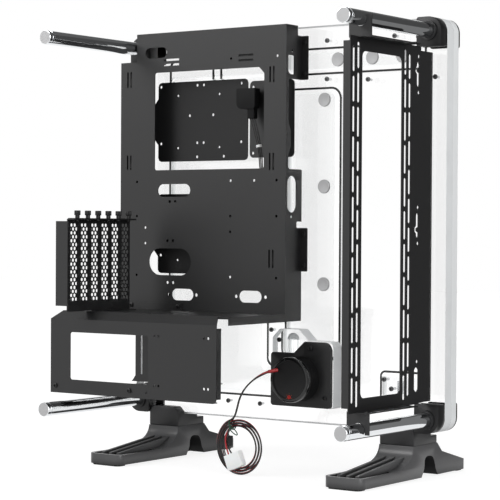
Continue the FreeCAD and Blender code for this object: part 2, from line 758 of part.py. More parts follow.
def foot_side():
    """Side outline of a foot's base: toe, swept pedestal, shoulder and heel."""
    low = FLOOR + FOOT_PAD_T
    rim = FLOOR + FOOT_RIM_H
    top = FLOOR + SADDLE_BASE_H
    tip = PLATE_Y - FOOT_FRONT
    heel = PLATE_Y + FOOT_REAR
    pedestal = PLATE_Y - SADDLE_FRONT - PEDESTAL_LEDGE
    shoulder = PLATE_Y + SADDLE_REAR + PEDESTAL_LEDGE
    root = pedestal - PEDESTAL_SWEEP
    line = [
        (pedestal, top), (shoulder, top),
        (shoulder + SHOULDER_RUN, top - SHOULDER_DROP), (heel - HEEL_RUN, rim),
        (heel, rim - HEEL_DROP), (heel, low), (tip, low), (tip, rim), (root, rim),
    ]
    edges = []
    for (y0, z0), (y1, z1) in zip(line, line[1:]):
        edges.append(Part.LineSegment(V(0, y0, z0), V(0, y1, z1)).toShape())
    turn = math.sqrt(0.5)
    middle = V(0, root + PEDESTAL_SWEEP * turn, top - (top - rim) * turn)
    sweep = Part.BSplineCurve()
    sweep.interpolate([V(0, root, rim), middle, V(0, pedestal, top)],
                      InitialTangent=V(0, 1, 0), FinalTangent=V(0, 0, 1))
    edges.append(sweep.toShape())
    return Part.Face(Part.Wire(edges)), pedestal, root


def foot_arch():
    """Outline of the bell-shaped recess in each side of a foot."""
    middle = PLATE_Y + ARCH_CENTRE
    half = [(ARCH_W / 2, FLOOR), (ARCH_NECK_W / 2, FLOOR + ARCH_NECK_H), (ARCH_TOP_W / 2, FLOOR + ARCH_H)]
    points = [(middle - u, v) for u, v in half[:1]] + [(middle + u, v) for u, v in half]
    return points + [(middle - u, v) for u, v in half[:0:-1]]


def foot_base(x):
    """Moulded foot: low toes with a rim, a swept pedestal and an arched recess in each side."""
    low = FLOOR + FOOT_PAD_T
    rim = FLOOR + FOOT_RIM_H
    top = FLOOR + SADDLE_BASE_H
    tip = PLATE_Y - FOOT_FRONT
    heel = PLATE_Y + FOOT_REAR
    half = FOOT_W / 2
    face, pedestal, root = foot_side()
    side = face.extrude(V(FOOT_W, 0, 0))
    side.translate(V(x - half, 0, 0))
    body = side.common(slab("xy", rect(x - half, x + half, tip, heel), low, top, FOOT_TOE_R))
    flare = [(x - half, low), (x + half, low), (x + half, rim),
             (x + PEDESTAL_W / 2, top), (x - PEDESTAL_W / 2, top),
             (x - half, rim)]
    body = body.common(slab("xz", flare, tip, heel))

    wall = TOE_POCKET_WALL
    floor_z = rim - TOE_POCKET_D
    pocket = rect(x - half + wall, x + half - wall, tip + wall, root)
    body = body.cut(slab("xy", pocket, floor_z, top, FOOT_TOE_R - wall))
    start = tip + wall + WEDGE_TIP_GAP
    wedge_side = [(start, floor_z - STEEL), (pedestal, floor_z - STEEL), (pedestal, FLOOR + WEDGE_ROOT_H),
                  (start, FLOOR + WEDGE_TIP_H)]
    rib_w = (WEDGE_W - 2 * WEDGE_GROOVE_W) / 3
    for i in range(3):
        left = x - WEDGE_W / 2 + i * (rib_w + WEDGE_GROOVE_W)
        body = body.fuse(slab("yz", wedge_side, left, left + rib_w))
    bends = [0, 0, ARCH_R, ARCH_R, ARCH_R, ARCH_R]
    for x0, x1 in ((x - half, x - ARCH_WEB / 2), (x + ARCH_WEB / 2, x + half)):
        body = body.cut(slab("yz", foot_arch(), x0, x1, bends))
    return body.removeSplitter()


def foot_pads():
    """Rubber pads under the toes."""
    half = FOOT_W / 2 - TOE_POCKET_WALL
    ends = (PLATE_Y - FOOT_FRONT + FOOT_PAD_INSET, PLATE_Y + FOOT_REAR - FOOT_PAD_INSET - FOOT_PAD_L)
    pads = []
    for x in foot_centres().values():
        for start in ends:
            outline_points = rect(x - half, x + half, start, start + FOOT_PAD_L)
            pads.append(slab("xy", outline_points, FLOOR, FLOOR + FOOT_PAD_T, FOOT_PAD_R))
    return Part.makeCompound(pads)


def tray_holes():
    """Every opening in the tray's front sheet."""
    corner = (BOARD_COLUMNS[2], BOARD_ROWS[0])
    holes = [circle(x, z, BOARD_HOLE_R) for x in BOARD_COLUMNS for z in BOARD_ROWS if (x, z) != corner]
    holes += [circle(x, z, BOARD_HOLE_R) for x, z in EXTRA_HOLES]
    holes.append(opening(TRAY_WINDOW, TRAY_WINDOW_R))
    holes += [slot(*size) for size in TRAY_SLOTS]
    low = TRAY_BOTTOM + LOW_SLOT_RISE
    holes += [slot(u0, u1, low, low + LOW_SLOT_H) for u0, u1 in LOW_SLOTS_X]
    holes += [circle(x, low + LOW_SLOT_H / 2, LOW_HOLE_R) for x in LOW_HOLE_XS]
    for x, z in PAIR_HOLES:
        holes += [circle(x + side * PAIR_STEP, z, PAIR_R) for side in (-1, 1)]
    for u0, u1 in TIE_SLITS_X:
        holes += [opening(rect(u0, u1, v, v + TIE_SLIT_H)) for v in TIE_SLITS_Z]
    near, far = STRAP_SLIT_AT
    for x, bottom, top in STRAP_SLITS:
        holes.append(opening(rect(x - far, x - near, bottom, top)))
        holes.append(opening(rect(x + near, x + far, bottom, top)))
    return holes


def side_fold_outline():
    """Rear edge of the tray's right fold: feet on the plate with cut-outs between them."""
    y = PLATE_Y
    shallow, wave, deep = FOLD_DEPTHS
    cut = FOLD_CUT
    return [
        (0.0, TRAY_BOTTOM), (y, TRAY_BOTTOM), (y, LOWER_LUG[1]), (deep, LOWER_LUG[1]), (deep, FOLD_FOOT_TOP),
        (y, FOLD_FOOT_TOP), (y, cut[0]), (shallow, cut[0]), (shallow, cut[1]), (wave, cut[2]), (wave, cut[3]),
        (shallow, cut[4]), (shallow, UPPER_LUG[0]), (y, UPPER_LUG[0]), (y, UPPER_LUG[1]),
        (TRAY_TOP_FOLD, UPPER_LUG[1]), (TRAY_TOP_FOLD, TRAY_TOP), (0.0, TRAY_TOP),
    ]


def panel_openings():
    """Holes in the tray's top fold over the buttons and sockets."""
    y = PANEL_ROW_Y
    holes = [circle(POWER_X, y, POWER_R + RUN_GAP), circle(RESET_X, y, RESET_R + RUN_GAP)]
    holes.append(circle(AUDIO_X, y, AUDIO_R + AUDIO_GAP))
    for x in USB_XS:
        holes.append(opening(rect(x - USB_W / 2, x + USB_W / 2, y - USB_H / 2, y + USB_H / 2)))
    return holes


def motherboard_tray():
    """Folded steel tray: front sheet, side folds, top fold and two feet on the plate."""
    front = [(TRAY_LEFT, TRAY_BOTTOM), (TRAY_RIGHT, TRAY_BOTTOM),
             (TRAY_RIGHT, TRAY_TOP), (TRAY_STEP_X, TRAY_TOP),
             (TRAY_STEP_X, TRAY_STEP_Z), (TRAY_LEFT, TRAY_STEP_Z)]
    shapes = [slab("xz", front, 0.0, STEEL, 0.0, tray_holes())]
    side_holes = [opening(rect(*FOLD_WINDOW), LUG_CORNER_R), slot(*FOLD_SLOT)]
    side_holes += [circle(y, z, FOLD_HOLE_R) for y, z in FOLD_HOLES]
    bends = [0, 0, 0, 2, 2, 0, 2, 4, 6, 6, 6, 6, 4, 0, 0, 2, 2, 0]
    shapes.append(slab("yz", side_fold_outline(), TRAY_RIGHT - STEEL, TRAY_RIGHT, bends, side_holes))
    top = rect(TRAY_STEP_X, TRAY_RIGHT, 0.0, TRAY_TOP_FOLD)
    shapes.append(slab("xy", top, TRAY_TOP - STEEL, TRAY_TOP, 0.0, panel_openings()))
    for low, high in (UPPER_LUG, LOWER_LUG):
        lug = rect(TRAY_RIGHT - STEEL, TRAY_RIGHT + LUG_REACH, low, high)
        shapes.append(slab("xz", lug, PLATE_Y - STEEL, PLATE_Y, [0, LUG_CORNER_R, LUG_CORNER_R, 0]))
    left = rect(0.0, TRAY_EDGE_FOLD, TRAY_BOTTOM, TRAY_STEP_Z)
    shapes.append(slab("yz", left, TRAY_LEFT, TRAY_LEFT + STEEL, 0.0))
    upper_left = rect(0.0, TRAY_EDGE_FOLD, TRAY_STEP_Z, TRAY_TOP)
    shapes.append(slab("yz", upper_left, TRAY_STEP_X, TRAY_STEP_X + STEEL, 0.0))
    return joined(shapes)


def psu_shelf():
    """Shelf over the power supply, with a lip on its right and an upstand on the tray."""
    holes = [slot(u0, u1, *SHELF_SLOT_Y) for u0, u1 in SHELF_SLOTS_X]
    top = slab("xy", rect(SHELF_LEFT, TRAY_RIGHT, SHELF_FRONT, 0.0), SHELF_TOP - STEEL, SHELF_TOP, 0.0, holes)
    lip = rect(SHELF_FRONT, 0.0, SHELF_TOP - SHELF_LIP_H, SHELF_TOP)
    lip = slab("yz", lip, TRAY_RIGHT - STEEL, TRAY_RIGHT)
    upstand = rect(SHELF_LEFT, SHELF_UPSTAND_RIGHT, SHELF_TOP - STEEL, SHELF_TOP + SHELF_UPSTAND_H)
    upstand = slab("xz", upstand, -STEEL, 0.0)
    return joined([top, lip, upstand])


def cover_holes():
    """Window, drive holes and small holes in the compartment's front."""
    window = rect(*COVER_WINDOW_X, COVER_BOTTOM + COVER_WINDOW_LOW, COVER_CREASE - COVER_WINDOW_HIGH)
    holes = [opening(window, COVER_WINDOW_R)]
    for side in (-1, 1):
        for level in (-1, 1):
            x = DRIVE_HOLE_X + side * DRIVE_HOLE_PITCH_X / 2
            z = DRIVE_HOLE_Z + level * DRIVE_HOLE_PITCH_Z / 2
            holes += [circle(x, z, DRIVE_HOLE_R), circle(x + DRIVE_HOLE_STEP, z, DRIVE_HOLE_R)]
    low = COVER_BOTTOM + COVER_SMALL_HOLE_RISE
    holes += [circle(x, low, COVER_SMALL_HOLE_R) for x in COVER_SMALL_HOLE_XS]
    return holes


def psu_cover():
    """Folded front cover: face with a window, bevel to the shelf, returns below and at the right."""
    outline = rect(COVER_LEFT, COVER_RIGHT, COVER_BOTTOM, COVER_CREASE)
    face = slab("xz", outline, COVER_FACE_Y, COVER_FACE_Y + STEEL,
                [0, COVER_CORNER_R, 0, 0], cover_holes())
    top = SHELF_TOP + STEEL
    back = COVER_FACE_Y + COVER_BEVEL_DEPTH
    bevel = [V(COVER_LEFT, COVER_FACE_Y, COVER_CREASE), V(COVER_RIGHT, COVER_FACE_Y, COVER_CREASE),
             V(COVER_RIGHT - COVER_RETURN_GAP, back, top), V(COVER_LEFT + COVER_BEVEL_CUT, back, top)]
    inward = V(0, top - COVER_CREASE, -COVER_BEVEL_DEPTH).normalize()
    slope = Part.Face(Part.makePolygon(bevel + bevel[:1])).extrude(inward * STEEL)
    flange = rect(COVER_LEFT + COVER_BEVEL_CUT, COVER_FLANGE_RIGHT, back, back + COVER_FLANGE)
    flange = slab("xy", flange, SHELF_TOP, top)
    edge = rect(COVER_FACE_Y, COVER_FACE_Y + COVER_FLANGE,
                COVER_BOTTOM + COVER_CORNER_R, COVER_CREASE - COVER_RETURN_GAP)
    right = slab("yz", edge, COVER_RIGHT - STEEL, COVER_RIGHT)
    below = rect(COVER_LEFT, COVER_RIGHT - COVER_CORNER_R, COVER_FACE_Y, COVER_FACE_Y + COVER_FLANGE)
    below = slab("xy", below,
                 COVER_BOTTOM, COVER_BOTTOM + STEEL)
    return joined([face, slope, flange, right, below])


def psu_support():
    """Hanger behind the power supply, lapped on the back of the tray."""
    x0, x1 = SUPPORT_X
    top = TRAY_BOTTOM + SUPPORT_LAP
    gap = x0 + SUPPORT_SLOT_INSET
    low, high = SUPPORT_SLOT_MARGINS
    holes = [opening(rect(gap, gap + SUPPORT_SLOT_W, SUPPORT_BOTTOM + low, TRAY_BOTTOM - high))]
    points = [(x0 - SUPPORT_TOE, SUPPORT_BOTTOM), (x1, SUPPORT_BOTTOM), (x1, top), (x0, top),
              (x0, SUPPORT_BOTTOM + SUPPORT_TOE_H)]
    panel = slab("xz", points, STEEL, 2 * STEEL, 0.0, holes)
    foot = slab("xy", rect(x0 - SUPPORT_TOE, x1, STEEL, PLATE_Y), SUPPORT_BOTTOM, SUPPORT_BOTTOM + STEEL)
    return joined([panel, foot])


def slot_places():
    """Middle of each expansion slot along Y."""
    return [SLOT_FIRST_Y + i * SLOT_PITCH for i in range(SLOT_COUNT)]


def slot_frame():
    """Folded frame of the expansion slots, standing on the shelf."""
    places = slot_places()
    front = places[0] - SLOT_FRONT_MARGIN
    rear = places[-1] + SLOT_REAR_MARGIN
    step = COVER_FACE_Y + COVER_BEVEL_DEPTH + COVER_FLANGE + SLOT_STEP_GAP
    x = SLOT_FACE_X
    wall = [(front, SLOT_LOW), (step, SLOT_LOW), (step, SHELF_TOP), (rear, SHELF_TOP),
            (rear, SLOT_TOP), (front, SLOT_TOP)]
    half = SLOT_OPENING_W / 2
    windows = [opening(rect(y - half, y + half, *SLOT_OPENING_Z)) for y in places]
    shapes = [slab("yz", wall, x, x + STEEL, 0.0, windows)]
    screw_holes = [circle(x + STEEL + SLOT_LEDGE / 2, y, THUMB_NECK_R + SOCKET_GAP) for y in places]
    ledge = rect(x, x + STEEL + SLOT_LEDGE, front, rear)
    shapes.append(slab("xy", ledge, SLOT_TOP - STEEL, SLOT_TOP, 0.0, screw_holes))
    shapes.append(slab("xy", rect(x, x + STEEL + SLOT_LEDGE, step, rear), SHELF_TOP, SHELF_TOP + STEEL))
    wing = rect(x - SLOT_WING, x + STEEL, SLOT_LOW, SLOT_TOP - SLOT_WING_DROP)
    shapes.append(slab("xz", wing, front, front + STEEL))
    return joined(shapes)


def slot_cover(y):
    """Perforated blank for one slot, its tab folded over the frame's ledge."""
    half = COVER_PLATE_W / 2
    x = SLOT_FACE_X - COVER_PLATE_T
    low = SLOT_OPENING_Z[0] - SLOT_COVER_LAP
    middle = sum(SLOT_OPENING_Z) / 2
    mesh = []
    for row in range(MESH_ROWS):
        z = middle + (row - (MESH_ROWS - 1) / 2) * MESH_PITCH_Z
        mesh += [hexagon(y + side * MESH_PITCH_Y / 2, z, MESH_R) for side in (-1, 1)]
    blank = slab("yz", rect(y - half, y + half, low, SLOT_TOP + COVER_PLATE_T), x, SLOT_FACE_X, 0.0, mesh)
    tab = rect(x, SLOT_FACE_X + STEEL + SLOT_LEDGE, y - half, y + half)
    hole = circle(SLOT_FACE_X + STEEL + SLOT_LEDGE / 2, y, THUMB_NECK_R + SOCKET_GAP)
    return joined([blank, slab("xy", tab, SLOT_TOP, SLOT_TOP + COVER_PLATE_T, 0.0, [hole])])


def thumb_screws():
    """Thumb screws that hold the slot covers, neck through the tab and the ledge."""
    x = SLOT_FACE_X + STEEL + SLOT_LEDGE / 2
    screws = []
    for y in slot_places():
        seat = SLOT_TOP + COVER_PLATE_T
        waist = rod("xy", x, y, seat, seat + THUMB_NECK_H, THUMB_NECK_R + THUMB_COLLAR)
        shank = rod("xy", x, y, SLOT_TOP - 2 * STEEL, seat, THUMB_NECK_R)
        head = rod("xy", x, y, seat + THUMB_NECK_H, seat + THUMB_NECK_H + THUMB_HEAD_H, THUMB_HEAD_R)
        screws.append(joined([shank, waist, head]))
    return Part.makeCompound(screws)


def radiator_reach():
    """Lowest and highest point of the radiator bracket's wall."""
    return PLATE_BOTTOM + RAD_INSET_Z, PLATE_TOP - RAD_INSET_Z


def slot_row(count, margin):
    """Ends of the slots of one row: equal steps over the height, kept off the wall's ends."""
    low, high = radiator_reach()
    pitch = (high - low - 2 * margin + (RAD_SLOT_BRIDGE if margin else 0.0)) / count
    start = low + margin - (0.0 if margin else RAD_SLOT_BRIDGE / 2)
    row = []
    for i in range(count):
        bottom = start + i * pitch + (0.0 if margin else RAD_SLOT_BRIDGE)
        top = bottom + pitch - RAD_SLOT_BRIDGE
        row.append((max(bottom, low + RAD_SLOT_MARGIN), min(top, high - RAD_SLOT_MARGIN)))
    return row


def keyhole(y, z, up):
    """Long slot that swerves to the front round a tab, and a hole beyond each end."""
    half = KEYHOLE_W / 2
    low, high = z - KEYHOLE_L / 2, z + KEYHOLE_L / 2
    head = z + up * KEYHOLE_HEAD_Z
    r = KEYHOLE_HEAD_R
    tab = KEYHOLE_TAB_R
    front, back = y - half, y + half
    out, past = front - KEYHOLE_HEAD_Y, back - KEYHOLE_TAB_Y
    points = [(y - half / 2, low), (y + half / 2, low), (back, low + half),
              (back, head - tab), (past, head - tab / 2), (past, head + tab / 2), (back, head + tab),
              (back, high - half), (y + half / 2, high), (y - half / 2, high), (front, high - half),
              (front, head + r), (out, head + r / 2), (out, head - r / 2), (front, head - r), (front, low + half)]
    return [opening(points)] + [keyhole_end(y, z, side) for side in (-1, 1)]


def keyhole_end(y, z, side):
    """Small hole above or below a keyhole."""
    return hexagon(y + KEYHOLE_STEP_Y, z + side * KEYHOLE_STEP, KEYHOLE_HOLE_R)


def radiator_holes():
    """Window and slot rows for fans of two sizes, and the rear keyholes."""
    half = RAD_WINDOW_W / 2
    low, high = radiator_reach()
    window = rect(RAD_FIN_CENTRE - half, RAD_FIN_CENTRE + half,
                  low + RAD_WINDOW_MARGIN_Z, high - RAD_WINDOW_MARGIN_Z)
    holes = [opening(window, RAD_WINDOW_R)]
    rows = ((RAD_NARROW, slot_row(RAD_NARROW_COUNT, 0.0)),
            (RAD_WIDE, slot_row(RAD_WIDE_COUNT, RAD_WIDE_MARGIN)))
    for spread, row in rows:
        for side in (-1, 1):
            y = RAD_FIN_CENTRE + side * spread / 2
            holes += [cut_slot(y - RAD_SLOT_W / 2, y + RAD_SLOT_W / 2, bottom, top) for bottom, top in row]
    for z, up in (((low + high) / 2, -1), (high - KEYHOLE_HIGH, 1)):
        holes += keyhole(KEYHOLE_Y, z, up)
    z = low + KEYHOLE_LOW
    half, tall = RAD_PORT_W / 2, KEYHOLE_L / 2
    holes.append(cut_slot(KEYHOLE_Y - half, KEYHOLE_Y + half, z - tall, z + tall))
    holes.append(keyhole_end(KEYHOLE_Y, z, 1))
    return holes


def radiator_tab(x, z, edge, up):
    """Hook of the radiator bracket round one right-hand tube."""
    u0 = x - RAD_TAB_W / 2
    u1 = x + RAD_TAB_W / 2
    v0, v1 = sorted((edge, z + up * RAD_TAB_PAST_CENTRE))
    tab = slab("xz", rect(u0, u1, v0, v1), RAD_TAB_Y, RAD_TAB_Y + STEEL)
    tab = tab.cut(rod("xz", x, z, RAD_TAB_Y, RAD_TAB_Y + STEEL, TUBE_R + RUN_GAP))
    gap = rect(x - TUBE_R - RUN_GAP, x + TUBE_R + RUN_GAP, *sorted((z, z + up * TUBE_R)))
    return tab.cut(slab("xz", gap, RAD_TAB_Y, RAD_TAB_Y + STEEL))


def radiator_bracket():
    """Slotted bracket for a radiator on the right, hooked on the tubes and footed on the plate."""
    x = PLATE_RIGHT - RAD_INSET_X
    low, high = radiator_reach()
    foot = low + RAD_FOOT_STEP
    front = PLATE_Y - RAD_FRONT
    strip = PLATE_Y - RAD_REAR_STRIP
    rear = low + RAD_REAR_STEP
    wall = [(front, low), (strip, low), (strip, rear), (PLATE_Y, rear), (PLATE_Y, high - RAD_REAR_CUT),
            (strip, high - RAD_REAR_CUT), (strip, high), (front, high)]
    shapes = [slab("yz", wall, x - STEEL, x, 0.0, radiator_holes())]
    shapes.append(slab("xz", rect(x - RAD_FRONT_FOLD, x, foot, high - RAD_FOOT_STEP), front, front + STEEL))
    shapes.append(slab("xz", rect(x - RAD_REAR_FOLD, x, foot, high - RAD_REAR_CUT), PLATE_Y - STEEL, PLATE_Y))
    fold = rect(x - STEEL, x + RAD_TOP_FOLD, RAD_TAB_Y - RAD_FOLD_PAST_TAB, strip - RAD_FOLD_SHORT)
    shapes.append(slab("xy", fold, high - STEEL, high))
    shapes.append(slab("xy", fold, low, low + STEEL))
    tube_x = PLATE_RIGHT - TUBE_INSET
    shapes.append(radiator_tab(tube_x, PLATE_TOP - TUBE_INSET, high - STEEL, 1))
    shapes.append(radiator_tab(tube_x, PLATE_BOTTOM + TUBE_INSET, low + STEEL, -1))
    return joined(shapes)


def spacer_places(size):
    """Corners of a bracket where its spacers stand."""
    x0, x1, z0, z1 = size
    d = BRACKET_HOLE_INSET
    return [(x, z) for x in (x0 + d, x1 - d) for z in (z0 + d, z1 - d)]


def drive_bracket(size, tab_z=None):
    """Flat drive bracket with rounded corners, drive holes and an optional side tab."""
    x0, x1, z0, z1 = size
    points = rect(x0, x1, z0, z1)
    radii = [BRACKET_R] * 4
    if tab_z:
        low, high = z0 + tab_z[0], z0 + tab_z[1]
        points += [(x0, high), (x0 - BRACKET_TAB, high), (x0 - BRACKET_TAB, low), (x0, low)]
        radii += [0.0] * 4
    middle = (x0 + x1) / 2
    places = []
    for z in (z0 + BRACKET_EDGE_Z[0], z1 - BRACKET_EDGE_Z[1]):
        places += [(x0 + BRACKET_EDGE_X[0], z), (x1 - BRACKET_EDGE_X[1], z)]
        if x1 - x0 > BRACKET_WIDE:
            places += [(middle + x, z) for x in BRACKET_MID_X]
    if x1 - x0 > BRACKET_WIDE:
        places += [(middle + x, (z0 + z1) / 2 + BRACKET_CENTRE_RISE) for x in BRACKET_CENTRE_X]
    holes = [circle(x, z, BRACKET_HOLE_R) for x, z in places]
    return slab("xz", points, BRACKET_Y, BRACKET_Y + STEEL, radii, holes)


def bracket_spacers():
    """Round spacers between the drive brackets and the plate."""
    spacers = []
    for size in (UPPER_BRACKET, LOWER_BRACKET, SMALL_BRACKET):
        for x, z in spacer_places(size):
            spacers.append(rod("xz", x, z, BRACKET_Y + STEEL, PLATE_Y, SPACER_R))
    return Part.makeCompound(spacers)


def pump_depths():
    """Depths of the pump's layers: its front, the flange's front, the flange's back and the block's front."""
    block_front = PLATE_Y - LAYER_GAP - PUMP_TOP_T
    flange_back = block_front - LAYER_GAP
    flange_front = flange_back - PUMP_FLANGE_T
    return flange_front - PUMP_L, flange_front, flange_back, block_front


def pump_flange_outline():
    """Outline of the pump's black flange: square with one raised ear."""
    x, z = PUMP_X, PUMP_Z
    left, right = x - FLANGE_X[0], x + FLANGE_X[1]
    low = z - FLANGE_LOW
    shoulder, top = z + FLANGE_TOP[0], z + FLANGE_TOP[1]
    return [(left, low), (right, low), (right, top), (x + FLANGE_EAR[1], top), (x - FLANGE_EAR[0], shoulder),
            (left, shoulder)]


def pump_top():
    """Clear block behind the pump, with the volute and the inlet bore."""
    x, z = PUMP_X, PUMP_Z
    front = pump_depths()[3]
    back = PLATE_Y - LAYER_GAP
    left, right = x - BLOCK_X[0], x + BLOCK_X[1]
    low = z - BLOCK_LOW
    side, top, shoulder = (z + h for h in BLOCK_TOP)
    points = [(left, low), (right, low), (right, shoulder),
              (x + BLOCK_EAR[2], shoulder), (x - BLOCK_EAR[1], top),
              (x - BLOCK_EAR[0], top), (left, side)]
    block = slab("xz", points, front, back, BLOCK_CORNERS)
    volute = rod("xz", x, z, front, front + VOLUTE_D, VOLUTE_R)
    inlet_at = V(x - INLET_OFFSET, front + PUMP_TOP_T / 2, z + INLET_RISE)
    inlet = Part.makeCylinder(INLET_R, INLET_L, inlet_at, V(0, 0, 1))
    inlet = inlet.fuse(Part.makeSphere(INLET_R, inlet_at + V(0, 0, INLET_L)))
    return block.cut(volute).cut(inlet)


def pump_flange():
    """Black flange between the pump and its clear block."""
    front, back = pump_depths()[1:3]
    hole = circle(PUMP_X, PUMP_Z, NECK_R + SOCKET_GAP)
    return slab("xz", pump_flange_outline(), front, back, FLANGE_CORNERS, [hole])


def dial_place():
    """Centre of the speed dial on the pump's face."""
    return PUMP_X, PUMP_Z - DIAL_DROP


def pump_body():
    """Round pump motor: rim round its face, neck through the flange, shaft for the impeller."""
    face = pump_depths()[0]
    shaft_end = pump_depths()[3] + (VOLUTE_D + IMPELLER_T) / 2 + SHAFT_PAST
    profile = [
        (0.0, PUMP_RIM), (PUMP_FACE_R, PUMP_RIM), (PUMP_FACE_R, 0.0),
        (PUMP_R - PUMP_CHAMFER, 0.0), (PUMP_R, PUMP_CHAMFER), (PUMP_R, PUMP_L),
        (NECK_R, PUMP_L), (NECK_R, PUMP_L + PUMP_FLANGE_T), (SHAFT_R, PUMP_L + PUMP_FLANGE_T),
        (SHAFT_R, shaft_end - face), (0.0, shaft_end - face),
    ]
    half = [V(PUMP_X + r, face + h, PUMP_Z) for r, h in profile]
    motor = Part.Face(Part.makePolygon(half + half[:1])).revolve(V(PUMP_X, face, PUMP_Z), V(0, 1, 0), 360)
    x, z = dial_place()
    return motor.cut(rod("xz", x, z, face, face + PUMP_RIM + DIAL_H, DIAL_R + SHAFT_GAP))


def pump_dial():
    """Slotted speed dial in its bore on the pump's face."""
    face = pump_depths()[0]
    x, z = dial_place()
    front = face + DIAL_SUNK
    dial = rod("xz", x, z, front, face + PUMP_RIM + DIAL_H - RUN_GAP, DIAL_R)
    groove = rect(x - DIAL_SLOT_W / 2, x + DIAL_SLOT_W / 2, z - DIAL_R, z + DIAL_R)
    return dial.cut(slab("xz", groove, front, front + DIAL_SLOT_D))


def pump_impeller():
    """Impeller in the volute: a disc with swept vanes round the shaft."""
    start = pump_depths()[3] + (VOLUTE_D - IMPELLER_T) / 2
    end = start + IMPELLER_T
    wheel = rod("xz", PUMP_X, PUMP_Z, end - IMPELLER_DISC_T, end, IMPELLER_R)
    wheel = wheel.fuse(rod("xz", PUMP_X, PUMP_Z, start, end, IMPELLER_HUB_R))
    for i in range(IMPELLER_VANES):
        vane = slab("xz", VANE, start, end - IMPELLER_DISC_T / 2)
        vane.rotate(V(0, 0, 0), V(0, 1, 0), 360.0 * i / IMPELLER_VANES)
        vane.translate(V(PUMP_X, 0, PUMP_Z))
        wheel = wheel.fuse(vane)
    bore = rod("xz", PUMP_X, PUMP_Z, start, end, SHAFT_R + SHAFT_GAP)
    return wheel.cut(bore).removeSplitter()


def screw_head(x, z, face):
    """Screw head seated on a face that looks forwards."""
    return rod("xz", x, z, face - SCREW_HEAD_H, face, SCREW_HEAD_R)


def pump_screws():
    """Screw heads on the pump's flange and on its clear block."""
    depths = pump_depths()
    heads = [screw_head(PUMP_X + x, PUMP_Z + z, depths[1]) for x, z in FLANGE_SCREWS]
    heads += [screw_head(PUMP_X + x, PUMP_Z + z, depths[3]) for x, z in BLOCK_SCREWS]
    return Part.makeCompound(heads)


def case_screws():
    """Heads of the screws that hold the tray, shelf, cover and brackets."""
    lug_y = PLATE_Y - STEEL
    heads = []
    for low, high in (UPPER_LUG, LOWER_LUG):
        for z in (low + LUG_SCREW_INSET, high - LUG_SCREW_INSET):
            heads.append(screw_head(TRAY_RIGHT + LUG_REACH / 2, z, lug_y))
    upstand = SHELF_TOP + (SHELF_UPSTAND_H + SCREW_HEAD_R / 3) / 2
    heads += [screw_head(SHELF_LEFT + inset_x, upstand, -STEEL) for inset_x in SHELF_SCREW_INSETS]
    heads += [screw_head(x, COVER_BOTTOM + COVER_SCREW_RISE, COVER_FACE_Y) for x in COVER_SCREW_XS]
    low, high = radiator_reach()
    rad_x = PLATE_RIGHT - RAD_INSET_X - RAD_REAR_FOLD / 2
    levels = (high - RAD_SCREW_HIGH, (low + high) / 2, low + RAD_SCREW_LOW)
    heads += [screw_head(rad_x, z, lug_y) for z in levels]
    return Part.makeCompound(heads)


def panel_housing():
    """Housing of the panel switches and sockets, hung under the tray's top fold."""
    top = TRAY_TOP - STEEL
    y = PANEL_ROW_Y
    body = slab("xz", rect(PANEL_X[0], PANEL_X[1], top - PANEL_H, top), PANEL_Y[0], PANEL_Y[1], 2.0)
    button_floor = top + STEEL + BUTTON_PROUD - BUTTON_L - BUTTON_TRAVEL - 1.0
    for x, r in ((POWER_X, POWER_R), (RESET_X, RESET_R)):
        body = body.cut(rod("xy", x, y, button_floor, top, r + RUN_GAP))
    for x in USB_XS:
        mouth = rect(x - USB_W / 2, x + USB_W / 2, y - USB_H / 2, y + USB_H / 2)
        body = body.cut(slab("xy", mouth, top - USB_DEPTH, top))
        tongue = rect(x - USB_W / 2 + 1.0, x + USB_W / 2 - 1.0, y + 0.4, y + 0.4 + USB_TONGUE)
        body = body.fuse(slab("xy", tongue, top - USB_DEPTH - 1.0, top - 1.5))
    body = body.cut(rod("xy", AUDIO_X, y, top - USB_DEPTH, top, AUDIO_R))
    return body.removeSplitter()


def push_button(x, r):
    """Round push button, a little proud of the tray's top fold."""
    top = TRAY_TOP + BUTTON_PROUD
    button = rod("xy", x, PANEL_ROW_Y, top - BUTTON_L, top, r)
    rim = [edge for edge in button.Edges if edge.BoundBox.ZMin > top - 0.01]
    return button.makeChamfer(0.4, rim)


def cord(route, diameter, name):
    """Round cord along straight runs joined by the largest tangent arcs that fit."""
    points = [V(*p) for p in route]
    edges = []
    radii = []
    last = points[0]
    for before, corner, after in zip(points, points[1:], points[2:]):
        to_last = (before - corner).normalize()
        to_next = (after - corner).normalize()
        half = to_last.getAngle(to_next) / 2
        reach = 0.45 * min((before - corner).Length, (after - corner).Length)
        radius = reach * math.tan(half)
        radii.append(round(radius, 1))
        middle = corner + (to_last + to_next).normalize() * (radius / math.sin(half) - radius)
        start = corner + to_last * reach
        end = corner + to_next * reach
        edges.append(Part.LineSegment(last, start).toShape())
        edges.append(Part.Arc(start, middle, end).toShape())
        last = end
    edges.append(Part.LineSegment(last, points[-1]).toShape())
    path = Part.Wire(edges)
    ring = Part.Wire([Part.Circle(points[0], points[1] - points[0], diameter / 2).toShape()])
    tube = path.makePipeShell([ring], True, False)
    section = math.pi * diameter ** 2 / 4
    print(name, "radii", radii, "volume share", round(tube.Volume / (section * path.Length), 4))
    return tube


def lead_coil():
    """Outer shape of the wound lead, standing on the floor."""
    return Part.makeTorus(COIL_R, COIL_TUBE_R, V(*COIL_CENTRE), V(0, 1, 0))


